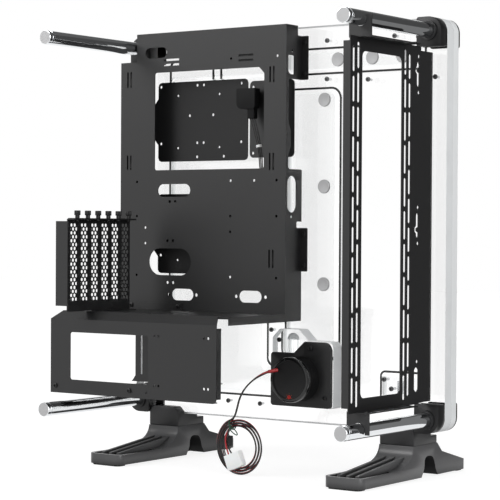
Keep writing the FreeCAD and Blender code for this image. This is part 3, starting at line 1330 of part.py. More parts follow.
def lead_tie():
    """Twist tie round the coil, where the lead runs into it."""
    x, y, z = COIL_CENTRE
    angle = math.radians(TIE_ANGLE)
    middle = V(x + COIL_R * math.cos(angle), y, z + COIL_R * math.sin(angle))
    along = V(-math.sin(angle), 0, math.cos(angle))
    outer = Part.makeCylinder(COIL_TUBE_R + TIE_GAP + TIE_T, TIE_W, middle - along * TIE_W / 2, along)
    inner = Part.makeCylinder(COIL_TUBE_R + TIE_GAP, TIE_W, middle - along * TIE_W / 2, along)
    return outer.cut(inner)


def power_connector():
    """Four-pole power plug lying against the front of the coil, tipped as it hangs."""
    x, y, z = COIL_CENTRE
    half_w = POWER_PLUG_W / 2
    half_l = POWER_PLUG_L / 2
    back = y - COIL_TUBE_R - RUN_GAP
    front = back - POWER_PLUG_T
    body = slab("xz", rect(-half_w, half_w, -half_l, half_l), front, back, POWER_PLUG_CORNERS)
    pitch = POWER_PLUG_W / 4
    for i in range(4):
        pole = V((i - 1.5) * pitch, (front + back) / 2, -half_l)
        body = body.cut(Part.makeCylinder(POWER_POLE_R, POWER_PLUG_L / 2, pole, V(0, 0, 1)))
    body.rotate(V(0, 0, 0), V(0, 1, 0), -POWER_PLUG_TIP)
    body.translate(V(x + POWER_PLUG_AT[0], 0, z + POWER_PLUG_AT[1]))
    return body


def speed_connector():
    """Small speed-signal plug against the back of the coil."""
    x, y, z = COIL_CENTRE
    left = x + SPEED_PLUG_AT[0]
    low = z + SPEED_PLUG_AT[1]
    front = y + COIL_TUBE_R + RUN_GAP
    size = rect(left, left + SPEED_PLUG_W, low, low + SPEED_PLUG_L)
    body = slab("xz", size, front, front + SPEED_PLUG_T, 0.8)
    middle = front + SPEED_PLUG_T / 2
    pitch = SPEED_PLUG_W / 3.5
    for i in range(3):
        pole = left + SPEED_PLUG_W / 2 + (i - 1) * pitch
        hole = rect(pole - 0.6, pole + 0.6, middle - 0.7, middle + 0.7)
        body = body.cut(slab("xy", hole, low, low + SPEED_PLUG_L / 2))
    return body


def panel_connectors():
    """Plug on the panel cables, hanging behind the tray's window: a strain relief and a wide socket."""
    x, y, z = CABLE_ROUTE[-1]
    u0, u1 = x - HEADER_X[0], x + HEADER_X[1]
    v0, v1 = z + HEADER_Z[0], z + HEADER_Z[1]
    half = HEADER_T / 2
    wide = slab("xz", rect(u0, u1, v0, v1), y - half, y + half, HEADER_CORNERS)
    inner = rect(u0 + HEADER_WALL, u1 - HEADER_WALL, v1 - HEADER_DEPTH, v1)
    wide = wide.cut(slab("xz", inner, y - half + HEADER_WALL, y + half - HEADER_WALL))
    relief = rect(x - RELIEF_W / 2, x + RELIEF_W / 2, z, v0 + HEADER_WALL)
    return joined([wide, slab("xz", relief, y - RELIEF_T / 2, y + RELIEF_T / 2)])


def cable_tie():
    """Pale tie round the panel cables."""
    a = V(*CABLE_ROUTE[-3])
    b = V(*CABLE_ROUTE[-2])
    along = (b - a).normalize()
    start = a + (b - a) * 0.5 - along * CABLE_TIE_W / 2
    inner = CABLE_D / 2 + RUN_GAP
    ring = Part.makeCylinder(inner + CABLE_TIE_T, CABLE_TIE_W, start, along)
    return ring.cut(Part.makeCylinder(inner, CABLE_TIE_W, start, along))


def board_frame_pieces():
    """Every piece drawn in the board frame, by node name."""
    pieces = {"distro_front_plate": front_plate(), "distro_back_plate": back_plate()}
    for name, (points, radius) in channel_loops().items():
        pieces[name] = gasket(points, radius)
    pieces["port_plugs"] = port_plugs()
    pieces["drain_plug"] = drain_plug()
    pieces["plate_screws"] = plate_screws()
    for name, place in corners().items():
        pieces["corner_clip_" + name] = corner_clip(place)
        pieces["standoff_tube_" + name] = standoff_tube(place)
    pieces["rear_corner_pads"] = rear_pads()
    pieces["tube_end_caps"] = tube_caps()
    for side, x in foot_centres().items():
        pieces["foot_saddle_" + side] = foot_saddle(x)
        pieces["foot_base_" + side] = foot_base(x)
    pieces["foot_pads"] = foot_pads()
    pieces["motherboard_tray"] = motherboard_tray()
    pieces["psu_shelf"] = psu_shelf()
    pieces["psu_cover"] = psu_cover()
    pieces["psu_support"] = psu_support()
    pieces["slot_frame"] = slot_frame()
    for i, y in enumerate(slot_places()):
        pieces["slot_cover_%d" % (i + 1)] = slot_cover(y)
    pieces["slot_thumb_screws"] = thumb_screws()
    pieces["radiator_bracket"] = radiator_bracket()
    pieces["drive_bracket_upper"] = drive_bracket(UPPER_BRACKET, BRACKET_TAB_Z)
    pieces["drive_bracket_lower"] = drive_bracket(LOWER_BRACKET)
    pieces["ssd_bracket"] = drive_bracket(SMALL_BRACKET)
    pieces["bracket_spacers"] = bracket_spacers()
    pieces["pump_top"] = pump_top()
    pieces["pump_flange"] = pump_flange()
    pieces["pump_body"] = pump_body()
    pieces["pump_dial"] = pump_dial()
    pieces["pump_impeller"] = pump_impeller()
    pieces["pump_screws"] = pump_screws()
    pieces["case_screws"] = case_screws()
    pieces["panel_housing"] = panel_housing()
    pieces["power_button"] = push_button(POWER_X, POWER_R)
    pieces["reset_button"] = push_button(RESET_X, RESET_R)
    pieces["panel_cables"] = cord(CABLE_ROUTE, CABLE_D, "panel_cables")
    pieces["panel_connectors"] = panel_connectors()
    pieces["panel_cable_tie"] = cable_tie()
    return pieces


def case_frame_pieces():
    """The pump's lead and what is on it, drawn in the case frame."""
    return {
        "pump_lead": cord(LEAD_ROUTE, LEAD_D, "pump_lead"),
        "lead_coil": lead_coil(),
        "lead_tie": lead_tie(),
        "power_connector": power_connector(),
        "speed_connector": speed_connector(),
    }


def main():
    """Build every piece and write one file for each."""
    os.makedirs("parts", exist_ok=True)
    pieces = board_frame_pieces()
    for shape in pieces.values():
        shape.translate(CASE_ORIGIN)
    pieces.update(case_frame_pieces())
    for name, shape in pieces.items():
        shape.exportStep("parts/" + name + ".step")
        if not shape.isValid():
            print("not valid:", name)
    print(len(pieces), "nodes")


main()
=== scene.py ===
"""Looks of the open-frame computer case: finishes, fasteners, wires, light and camera.

Routes, tables of places and names that end in _MM are in millimetres, all else is in metres.
"""

import json
import logging
import math
from dataclasses import dataclass, field
from enum import Enum
from functools import partial
from typing import Iterable, Sequence

import bpy
import numpy as np
from mathutils import Matrix, Vector
from mathutils.geometry import delaunay_2d_cdt


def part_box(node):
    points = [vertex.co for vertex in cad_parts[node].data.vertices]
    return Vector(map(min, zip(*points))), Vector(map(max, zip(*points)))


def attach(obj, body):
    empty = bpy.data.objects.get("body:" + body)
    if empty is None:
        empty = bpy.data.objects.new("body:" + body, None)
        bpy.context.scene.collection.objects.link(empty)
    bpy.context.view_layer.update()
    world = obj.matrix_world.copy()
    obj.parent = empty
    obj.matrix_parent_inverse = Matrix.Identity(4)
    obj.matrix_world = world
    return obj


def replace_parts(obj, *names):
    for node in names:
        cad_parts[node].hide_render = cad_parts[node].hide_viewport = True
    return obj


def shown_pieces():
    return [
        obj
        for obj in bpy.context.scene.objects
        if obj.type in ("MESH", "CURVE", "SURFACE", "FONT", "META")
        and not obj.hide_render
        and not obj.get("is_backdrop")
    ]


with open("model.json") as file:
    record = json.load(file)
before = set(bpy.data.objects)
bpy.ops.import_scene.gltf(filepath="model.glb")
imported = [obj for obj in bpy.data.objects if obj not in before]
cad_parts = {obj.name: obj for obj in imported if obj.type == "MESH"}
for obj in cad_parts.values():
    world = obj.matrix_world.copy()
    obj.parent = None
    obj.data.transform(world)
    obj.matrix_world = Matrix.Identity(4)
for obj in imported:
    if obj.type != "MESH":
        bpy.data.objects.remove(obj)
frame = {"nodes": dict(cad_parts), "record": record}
log = logging.getLogger("case")
MM = 0.001
CASE = "case"
WHITE, FLOOR_GREY = (1.0, 1.0, 1.0, 1.0), (0.3, 0.3, 0.3, 1.0)
# Smallest radius of a ring, which closes a turned face round its axis.
POLE = 0.01 * MM
FULL_TURN = 2.0 * math.pi
# Decimals of a metre to which corners of made pieces and of CAD nodes count as one.
WELD_DIGITS, CAD_WELD_DIGITS = 7, 6
# Edges are sharp above these angles, on made pieces and on CAD nodes.
SHARP_ANGLE, CAD_SHARP_ANGLE = math.radians(35.0), math.radians(28.0)
Array = np.ndarray
Box = tuple[Array, Array]


def linear(hex_color: str) -> Array:
    """Linear red, green and blue of an sRGB hex code."""
    share = np.frombuffer(bytes.fromhex(hex_color), np.uint8) / 255.0
    return np.where(share <= 0.04045, share / 12.92, ((share + 0.055) / 1.055) ** 2.4)


def angles(count: int) -> Array:
    """Equal angles round a full turn."""
    return np.linspace(0.0, FULL_TURN, count, endpoint=False)


def corners_of(low: Sequence[float], high: Sequence[float]) -> Array:
    """Corners of a flat rectangle between two opposite ones, against the clock.

    Args:
        low: its lowest corner, in two coordinates or in three of which one stays the same.
        high: its highest corner.

    Returns:
        The four corners.
    """
    first, second = np.flatnonzero(np.not_equal(low, high))
    corners = np.array([low] * 4, float)
    corners[1:3, first] = high[first]
    corners[2:, second] = high[second]
    return corners


def add_node(tree: bpy.types.NodeTree, kind: str, values: dict | None = None,
             links: dict | None = None, **settings) -> bpy.types.Node:
    """One shader node with its settings, socket values and incoming links.

    Args:
        tree: node tree to add to.
        kind: Blender's type name of the node without its common start.
        values: socket name or number to value.
        links: socket name or number to the node, by its first output, or the output that feeds it.
        settings: properties of the node itself.

    Returns:
        The new node.
    """
    made = tree.nodes.new("ShaderNode" + kind)
    for key, value in settings.items():
        setattr(made, key, value)
    for socket, value in (values or {}).items():
        made.inputs[socket].default_value = value
    for socket, source in (links or {}).items():
        output = source.outputs[0] if isinstance(source, bpy.types.Node) else source
        tree.links.new(output, made.inputs[socket])
    return made


def add_object(name: str, data: bpy.types.ID) -> bpy.types.Object:
    """A new object of the scene, from its mesh, curve, lamp or camera."""
    made = bpy.data.objects.new(name, data)
    bpy.context.scene.collection.objects.link(made)
    return made


def empty_material(name: str) -> bpy.types.Material:
    """A new material without nodes."""
    material = bpy.data.materials.new(name)
    material.use_nodes = True
    material.node_tree.nodes.clear()
    return material


@dataclass(frozen=True)
class Finish:
    """A real surface: its colour, gloss and the grain that its process leaves, with painted glow and painted
    shade where these are set.
    """

    name: str
    color: str
    roughness: float
    metallic: float = 0.0
    grain_mm: float = 0.8
    grain_depth_mm: float = 0.02
    grain_stretch: tuple[float, float, float] = (1.0, 1.0, 1.0)
    mottle: float = 0.12
    mottle_mm: float = 40.0
    roughness_spread: float = 0.08
    transmission: float = 0.0
    ior: float = 1.5
    specular: float = 0.5
    subsurface: float = 0.0
    # Emission in the surface's own colour: a painted glow, not a lamp.
    glow: float = 0.0
    # Painted shade: how much darker the colour gets where ambient occlusion finds surfaces close by, and how
    # far it looks.
    hollow: float = 0.0
    hollow_mm: float = 16.0

    def tone(self, share: float) -> list[float]:
        """The colour made darker or lighter by a factor."""
        return [*np.minimum(linear(self.color) * share, 1.0), 1.0]

    def build(self) -> bpy.types.Material:
        """The finish as a node material in the part's own coordinates.

        Returns:
            The material.
        """
        material = empty_material(self.name)
        tree = material.node_tree
        place = add_node(tree, "TexCoord").outputs["Object"]
        grain_at = add_node(tree, "Mapping", {"Scale": self.grain_stretch}, {"Vector": place})
        grain = add_node(tree, "TexNoise", {"Scale": 1.0 / (self.grain_mm * MM), "Detail": 3.0},
                         {"Vector": grain_at})
        broad = add_node(tree, "TexNoise", {"Scale": 1.0 / (self.mottle_mm * MM), "Detail": 4.0},
                         {"Vector": place})
        shades = {6: self.tone(1.0 - self.mottle), 7: self.tone(1.0 + self.mottle)}
        tone = add_node(tree, "Mix", shades, {0: broad}, data_type="RGBA")
        # Painted shade: the colour turns to a darker copy where ambient occlusion finds surfaces close by.
        if self.hollow:
            near = add_node(tree, "AmbientOcclusion", {"Distance": self.hollow_mm * MM})
            bare = add_node(tree, "MapRange", {"From Min": 0.35, "From Max": 0.85},
                            {"Value": near.outputs["AO"]})
            tone = add_node(tree, "Mix", {6: self.tone(1.0 - self.hollow)},
                            {0: bare, 7: tone.outputs[2]}, data_type="RGBA")
        gloss = add_node(tree, "MapRange", {
            "To Min": max(self.roughness - self.roughness_spread, 0.0),
            "To Max": min(self.roughness + self.roughness_spread, 1.0)}, {"Value": grain})
        bump = add_node(tree, "Bump", {"Strength": 1.0, "Distance": self.grain_depth_mm * MM},
                        {"Height": grain})
        # The emission is the painted glow.
        surface = add_node(tree, "BsdfPrincipled", {
            "Metallic": self.metallic, "IOR": self.ior, "Transmission Weight": self.transmission,
            "Specular IOR Level": self.specular, "Subsurface Weight": self.subsurface,
            "Emission Strength": self.glow,
        }, {"Base Color": tone.outputs[2], "Emission Color": tone.outputs[2], "Roughness": gloss,
            "Normal": bump})
        add_node(tree, "OutputMaterial", links={"Surface": surface})
        return material


# What finishes of one process share. Saw and sanding marks run along the edges of the acrylic.
sawn = partial(Finish, grain_mm=2.0, grain_stretch=(0.3, 1.0, 0.12))
clear = partial(Finish, transmission=1.0, ior=1.49, grain_mm=2.0, grain_depth_mm=0.0, roughness_spread=0.05)
moulded = partial(Finish, grain_mm=0.5)
vinyl = partial(Finish, roughness=0.4, grain_mm=0.6, grain_depth_mm=0.01)
metal = partial(Finish, grain_mm=0.4, grain_depth_mm=0.006)


class Surface(Enum):
    """Every finish of the case, named for the real material and process; painted glow and painted shade are
    noted where they are set.
    """

    # Sheet steel, powder coated matt black: orange peel about a millimetre across.
    POWDER_COAT = Finish("powder_coated_steel", "151516", 0.44, grain_mm=0.9, specular=0.47)
    # The same in a finer, duller coat on the drive plates.
    DULL_COAT = Finish("dull_coated_steel", "131314", 0.5, grain_mm=0.6, specular=0.3)
    # Cast acrylic, cut and polished.
    ACRYLIC = clear("polished_acrylic", "FFFFFF", 0.02, mottle=0.0, roughness_spread=0.015, grain_mm=30.0)
    # Its sawn edges, only sanded: frosted. Both carry a painted glow for light that would come in through the
    # clear faces; the second, on the other blocks, is sanded finer and is also painted paler for that light.
    ACRYLIC_EDGE = sawn("sanded_acrylic_edge", "CFD1D2", 0.45, mottle=0.09, mottle_mm=24.0, glow=0.13)
    ACRYLIC_PALE_EDGE = sawn("fine_sanded_acrylic_edge", "DDDFE0", 0.35, grain_depth_mm=0.01, mottle=0.05,
                             mottle_mm=30.0, glow=0.06)
    # Floors of its milled channels, left a little hazy by the cutter.
    ACRYLIC_MILLED = clear("milled_acrylic", "F6F7F7", 0.2, mottle=0.01)
    # Walls of the channels and bores, cut by the flank of the tool, with a strong painted glow that stands in
    # for the light inside the plate.
    ACRYLIC_WALL = clear("cut_acrylic_wall", "F2F4F4", 0.3, mottle=0.02, glow=0.5)
    # Steel tube, polished and chromed: faint streaks along its length.
    CHROME = Finish("chromed_tube", "E4E6E8", 0.07, 1.0, grain_mm=1.5, grain_depth_mm=0.001,
                    grain_stretch=(1.0, 0.05, 1.0), mottle=0.03, roughness_spread=0.03)
    # Aluminium bar, turned and satin anodised.
    ALUMINIUM = metal("satin_aluminium", "C9CBCD", 0.36, 1.0, grain_depth_mm=0.004, mottle=0.04)
    # The same, blasted matt before it was anodised.
    MATT_ALUMINIUM = Finish("blasted_aluminium", "BCBCBD", 0.6, 0.25, grain_mm=0.3, grain_depth_mm=0.006,
                            mottle=0.03)
    # Glass-filled nylon, moulded with a spark-eroded grain.
    BLACK_MOULDING = moulded("black_moulding", "161617", 0.4, specular=0.36)
    # The same, moulded in a polished tool.
    GLOSS_MOULDING = moulded("gloss_black_moulding", "161617", 0.16, grain_depth_mm=0.004)
    # The same, darker and matt, on plugs; in the feet's arched recesses the same dark colour is painted shade.
    MATT_MOULDING = moulded("matt_black_moulding", "121213", 0.6, specular=0.14)
    # The same moulding in dark grey, used on the feet, with painted shade darkening its grooves and recesses.
    GREY_MOULDING = moulded("grey_moulding", "565657", 0.3, grain_mm=0.6, specular=0.32, hollow=0.92)
    # Black moulding of the saddles between feet and plate.
    SADDLE_MOULDING = moulded("saddle_moulding", "2A2A2B", 0.4, grain_mm=0.6, grain_depth_mm=0.03,
                              specular=0.32)
    # Nitrile rubber cord.
    RUBBER = moulded("nitrile_rubber", "151515", 0.7)
    # Coloured nylon of the dial.
    RED_MOULDING = moulded("red_moulding", "C92A1E", 0.4, grain_depth_mm=0.01)
    # Pad-printed marks.
    ORANGE_PRINT = Finish("orange_print", "D2622A", 0.5, grain_mm=0.3, grain_depth_mm=0.005)
    # Natural nylon of plugs and ties, slightly translucent; its glow is painted light that makes it paler.
    WHITE_NYLON = Finish("natural_nylon", "F7F7F5", 0.38, glow=0.12, grain_mm=0.7, grain_depth_mm=0.01,
                         subsurface=0.1)
    # Wire insulation, extruded vinyl.
    RED_VINYL = vinyl("red_vinyl", "B4252B")
    BLACK_VINYL = vinyl("black_vinyl", "1B1A1A")
    GREEN_VINYL = vinyl("green_vinyl", "1D4A33", roughness=0.45)
    # Screws, blackened or phosphated.
    BLACK_OXIDE = metal("blackened_steel", "1C1C1D", 0.38, 0.4)
    GREY_STEEL = metal("phosphated_steel", "606061", 0.4, 0.5)
    # Plated threads, with a painted glow that stands in for the light reaching them through the clear plate
    # round them.
    BARE_STEEL = metal("zinc_plated_steel", "C4C5C6", 0.4, 0.3, glow=0.6)

    def material(self) -> bpy.types.Material:
        """The finish's material, made once."""
        return bpy.data.materials.get(self.value.name) or self.value.build()


SLOT_SURFACE = {
    "clear_acrylic": Surface.ACRYLIC, "black_steel": Surface.POWDER_COAT, "chrome_tube": Surface.CHROME,
    "satin_aluminium": Surface.ALUMINIUM, "black_plastic": Surface.BLACK_MOULDING,
    "grey_plastic": Surface.GREY_MOULDING, "gasket_rubber": Surface.RUBBER, "pad_rubber": Surface.RUBBER,
    "red_plastic": Surface.RED_MOULDING, "white_plastic": Surface.WHITE_NYLON,
    "tie_plastic": Surface.GREEN_VINYL, "lead_insulation": Surface.RED_VINYL,
    "cable_insulation": Surface.BLACK_VINYL,
}
NODE_SURFACE = {"foot_saddle_left": Surface.SADDLE_MOULDING, "foot_saddle_right": Surface.SADDLE_MOULDING,
                "panel_connectors": Surface.MATT_MOULDING}


@dataclass
class Grids:
    """Surfaces gathered into one mesh: grids of points and loose triangles."""

    points: list[Array] = field(default_factory=list)
    quads: list[Array] = field(default_factory=list)
    triangles: list[Array] = field(default_factory=list)
    count: int = 0

    def add(self, grid: Array, wrap: bool = True) -> None:
        """Adds one grid.

        Args:
            grid: rows, columns and three coordinates.
            wrap: whether the last column joins the first.
        """
        rows, columns = grid.shape[:2]
        number = np.arange(rows * columns).reshape(rows, columns) + self.count
        if wrap:
            number = np.concatenate([number, number[:, :1]], axis=1)
        corners = [number[:-1, :-1], number[:-1, 1:], number[1:, 1:], number[1:, :-1]]
        self.quads.append(np.stack([c.ravel() for c in corners], axis=1))
        self.points.append(grid.reshape(-1, 3))
        self.count += rows * columns

    def add_triangles(self, points: Array, triangles: Array) -> None:
        """Adds loose triangles.

        Args:
            points: their corners.
            triangles: three corner numbers for each.
        """
        self.triangles.append(triangles + self.count)
        self.points.append(points)
        self.count += len(points)

    def build(self, name: str, surface: Surface, slot: str) -> bpy.types.Object:
        """The gathered surfaces as one object that moves with the case.

        Args:
            name: the piece's name.
            surface: its finish.
            slot: the record's material slot; not used.

        Returns:
            The object.
        """
        mesh = bpy.data.meshes.new(name)
        points = np.concatenate(self.points)
        faces = [np.concatenate(group) for group in (self.quads, self.triangles) if group]
        if self.triangles:
            points, same = np.unique(np.round(points, WELD_DIGITS), axis=0, return_inverse=True)
            faces = [same.ravel()[group] for group in faces]
        mesh.from_pydata(points, [], [face for group in faces for face in group.tolist()])
        mesh.shade_smooth()
        mesh.set_sharp_from_angle(angle=SHARP_ANGLE)
        mesh.materials.append(surface.material())
        made = add_object(name, mesh)
        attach(made, CASE)
        return made


def turned(rings: Sequence[Sequence[float]], radius: float, centre: Sequence[float],
           segments: int = 64) -> Array:
    """Surface turned round an axis along Y.

    Args:
        rings: what each ring takes off the radius and its depth, in millimetres.
        radius: the whole radius.
        centre: point on the axis at depth zero.
        segments: points round the axis.

    Returns:
        Grid of points, one row for each ring.
    """
    off, depth = np.asarray(rings, float).T[:, :, None]
    reach = np.maximum(radius - off * MM, POLE)
    angle = angles(segments)
    along = np.repeat(depth * MM, segments, axis=1)
    return np.stack([reach * np.cos(angle), along, reach * np.sin(angle)], axis=2) + np.asarray(centre, float)


def ring(across: float, up: float, radius: float, corners: int = 24) -> Array:
    """Corners of a round or six-sided hole, against the clock and the first at its top."""
    angle = math.pi / 2 + angles(corners)
    return np.stack([across + radius * np.cos(angle), up + radius * np.sin(angle)], axis=1)


# Kind of result and smallest distance in millimetres when a sheet is cut into triangles. Each triangle
# names the loops that it lies in, and those in the outline alone, the first loop, are kept.
WHOLE_HULL = (0, 1e-5)


@dataclass(frozen=True)
class Sheet:
    """Flat sheet with punched holes, in millimetres.

    The outline and the holes turn against the clock, seen from the near side.
    """

    outline: Array
    holes: tuple[Array, ...]
    near: float
    far: float
    axes: tuple[int, int, int]

    def place(self, flat: Array, depth: float) -> Array:
        """Points of the sheet's plane in the case frame, in metres.

        Args:
            flat: coordinates in the plane.
            depth: place along the third axis.

        Returns:
            The points.
        """
        points = np.empty((len(flat), 3))
        points[:, list(self.axes)] = np.column_stack([flat, np.full(len(flat), depth)])
        return points * MM

    def add_to(self, grids: Grids) -> None:
        """Adds both faces and all walls of the sheet.

        Args:
            grids: where they are gathered.
        """
        for loop in (self.outline, *(hole[::-1] for hole in self.holes)):
            grids.add(np.stack([self.place(loop, self.far), self.place(loop, self.near)]))
        loops = [self.outline, *self.holes]
        flat = np.concatenate(loops)
        faces = np.split(np.arange(len(flat)), np.cumsum([len(loop) for loop in loops])[:-1])
        found = delaunay_2d_cdt([Vector(p) for p in flat], [], [face.tolist() for face in faces], *WHOLE_HULL)
        corners, _, cut, _, _, owners = found
        points = np.array(corners)
        triangles = np.array([corner for corner, owner in zip(cut, owners) if owner == [0]])
        grids.add_triangles(self.place(points, self.near), triangles)
        grids.add_triangles(self.place(points, self.far), triangles[:, ::-1])


def box_of(node: str) -> Box:
    """Lowest and highest corner of a CAD node."""
    low, high = (np.array(v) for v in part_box(node))
    return low, high


def round_of(low: Array, high: Array) -> tuple[Array, float]:
    """Middle of the front face, and radius, of a round solid in the box between two corners."""
    middle = (low + high) / 2
    return np.array((middle[0], low[1], middle[2])), (high[0] - low[0]) / 2


def islands(node: str) -> list[Box]:
    """Boxes of the separate solids of a CAD node.

    Args:
        node: the node's name.

    Returns:
        Lowest and highest corner of each solid.
    """
    mesh = frame["nodes"][node].data
    points = np.array([vertex.co for vertex in mesh.vertices])
    _, same = np.unique(np.round(points, CAD_WELD_DIGITS), axis=0, return_inverse=True)
    same = same.ravel()
    triangles = same[[loop.vertex_index for loop in mesh.loops]].reshape(-1, 3)
    label = np.arange(triangles.max() + 1)
    settled = False
    while not settled:
        lowest = label[triangles].min(axis=1)
        before = label.copy()
        for column in range(3):
            np.minimum.at(label, triangles[:, column], lowest)
        label = label[label]
        settled = np.array_equal(before, label)
    group = label[same]
    return [(points[group == g].min(axis=0), points[group == g].max(axis=0)) for g in np.unique(group)]


class AcrylicFace(Enum):
    """Order of the finishes on a clear block."""

    POLISHED = 0
    EDGE = 1
    MILLED = 2
    WALL = 3


# Outer faces of a clear block lie this near its box, and its sawn edges and round corners this near.
OUTER_MM, PLATE_CORNER_MM = 0.1, 18.1
# A face counts as square to an axis above the first value and as along it below the second.
SQUARE, ALONG = 0.9, 0.3
# Arched recess in both sides of each foot, where painted shade is laid: its middle along Y, half its width,
# its top, and half its web.
ARCH_MM = (67.0, 21.6, 29.6)
ARCH_WEB_MM = 4.0
SOLE_MM = 0.3
BEVEL_ANGLE = math.radians(40.0)
BEVEL_MM = {"foot_": 0.9, "corner_clip": 0.8, "pump_flange": 0.6, "power_connector": 0.35,
            "speed_connector": 0.25, "panel_connectors": 2.2}


def face_places(mesh: bpy.types.Mesh) -> tuple[Array, Array]:
    """Normals and centres of a mesh's faces."""
    return np.array([p.normal for p in mesh.polygons]), np.array([p.center for p in mesh.polygons])


def dress_acrylic(node: bpy.types.Object) -> None:
    """Polished faces, frosted edges and milled channels on a clear block; the edges and cut walls carry
    painted glow.

    Args:
        node: the CAD node of the block.
    """
    mesh = node.data
    edge = Surface.ACRYLIC_EDGE if node.name == "distro_front_plate" else Surface.ACRYLIC_PALE_EDGE
    for surface in (Surface.ACRYLIC, edge, Surface.ACRYLIC_MILLED, Surface.ACRYLIC_WALL):
        mesh.materials.append(surface.material())
    normal, centre = face_places(mesh)
    low, high = box_of(node.name)
    inward = np.minimum(centre - low, high - centre)
    flat = np.abs(normal[:, 1]) > SQUARE
    face = np.where(flat, AcrylicFace.MILLED.value, AcrylicFace.WALL.value)
    face[flat & (inward[:, 1] < OUTER_MM * MM)] = AcrylicFace.POLISHED.value
    face[~flat & (inward[:, [0, 2]].min(axis=1) < PLATE_CORNER_MM * MM)] = AcrylicFace.EDGE.value
    mesh.polygons.foreach_set("material_index", face)


def dress_foot(node: bpy.types.Object) -> None:
    """Painted shade: matt black on the faces of a foot's arched recesses, where shade falls.

    Args:
        node: the CAD node of the foot.
    """
    mesh = node.data
    mesh.materials.append(Surface.MATT_MOULDING.material())
    normal, centre = face_places(mesh)
    low, high = box_of(node.name)
    middle, half, top = (v * MM for v in ARCH_MM)
    web = np.abs(centre - (low + high) / 2)[:, 0] < ARCH_WEB_MM * MM
    wall = np.abs(normal[:, 0]) < ALONG
    arch = (np.abs(centre[:, 1] - middle) < half) & (centre[:, 2] < top) & (normal[:, 2] > -SQUARE)
    sole = centre[:, 2] < low[2] + SOLE_MM * MM
    # Painted shade on the web and walls of the arch, clear of the sole.
    mesh.polygons.foreach_set("material_index", np.where((web | wall) & arch & ~sole, 1, 0))


def dress_frame() -> None:
    """Gives every CAD node its finish and smooth curved faces."""
    slots = {s["node"]: s["material_slot"] for s in frame["record"]["subparts"]}
    for name, node in frame["nodes"].items():
        node.data.materials.clear()
        surface = NODE_SURFACE.get(name, SLOT_SURFACE[slots[name]])
        if surface is Surface.ACRYLIC:
            dress_acrylic(node)
        else:
            node.data.materials.append(surface.material())
        if surface is Surface.GREY_MOULDING:
            dress_foot(node)
        node.data.shade_smooth()
        node.data.set_sharp_from_angle(angle=CAD_SHARP_ANGLE)
        for start, width in BEVEL_MM.items():
            if name.startswith(start):
                round_edges(node, width * MM)


def round_edges(node: bpy.types.Object, width: float) -> None:
    """Moulded edges, slightly rounded.

    Args:
        node: the CAD node.
        width: width of the rounding.
    """
    weld = node.modifiers.new("joined_faces", "WELD")
    weld.merge_threshold = 10.0 ** -CAD_WELD_DIGITS
    bevel = node.modifiers.new("moulded_edges", "BEVEL")
    bevel.width = width
    bevel.segments = 2
    bevel.limit_method = "ANGLE"
    bevel.angle_limit = BEVEL_ANGLE


# Run of a cross recess's sloping walls as a share of its arms' width.
RECESS_SLOPE = 0.35


def cross_recess(across: Array, up: Array, reach: float, width: float) -> Array:
    """Depth share of a cross recess, from nought on the face to one at its floor.

    Args:
        across: coordinates on the face.
        up: coordinates on the face, at right angles.
        reach: length of each arm.
        width: width of each arm.

    Returns:
        Depth share at each point.
    """
    soft = width * RECESS_SLOPE
    arms = []
    for long, short in ((across, up), (up, across)):
        side = np.clip((width / 2 - np.abs(short)) / soft + 0.5, 0.0, 1.0)
        end = np.clip((reach - np.abs(long)) / soft + 0.5, 0.0, 1.0)
        arms.append(side * end)
    return np.maximum(*arms)


@dataclass(frozen=True)
class PanHead:
    """Domed screw head with a cross recess, seated on a panel that faces forwards."""

    crown: float = 0.3
    crown_power: float = 2.6
    recess: float = 0.6
    arm_reach: float = 0.58
    arm_width: float = 0.26
    rows: int = 16
    columns: int = 48

    def grid(self, low: Array, high: Array) -> Array:
        """The head in the box of its CAD solid.

        Args:
            low: lowest corner.
            high: highest corner.

        Returns:
            Grid of points.
        """
        middle, radius = round_of(low, high)
        height = high[1] - low[1]
        share = np.concatenate([[1e-3], np.linspace(0.08, 1.0, self.rows), [1.0]])[:, None]
        angle = angles(self.columns)[None, :]
        across = radius * share * np.cos(angle)
        up = radius * share * np.sin(angle)
        dome = height * (1.0 - self.crown * share ** self.crown_power) * np.ones_like(across)
        arms = cross_recess(across, up, radius * self.arm_reach, radius * self.arm_width)
        dome -= self.recess * height * arms
        dome[-1] = 0.0
        return np.stack([middle[0] + across, high[1] - dome, middle[2] + up], axis=2)


@dataclass(frozen=True)
class Thread:
    """Screw thread along Y, in metres; its depth and its tip are shares of the pitch and the radius."""

    radius: float
    length: float
    pitch: float
    columns: int = 20
    rows_a_turn: int = 6
    depth: float = 0.3
    tip: float = 0.8

    def grid(self, start: Sequence[float]) -> Array:
        """The thread from its start backwards.

        Args:
            start: point on its axis.

        Returns:
            Grid of points.
        """
        rows = int(self.length / self.pitch * self.rows_a_turn)
        along = np.linspace(0.0, self.length, rows)[:, None]
        angle = angles(self.columns)[None, :]
        phase = (along / self.pitch + angle / FULL_TURN) % 1.0
        wave = self.radius + self.depth * self.pitch * np.abs(phase * 2.0 - 1.0)
        wave = wave * np.where(along > self.length - self.pitch, self.tip, 1.0)
        depth = along + 0.0 * angle
        return np.stack([wave * np.cos(angle), depth, wave * np.sin(angle)], axis=2) + np.asarray(start)


PLATE_THREAD = Thread(1.5 * MM, 13.0 * MM, 0.8 * MM)
THREAD_GAP_MM = 0.2


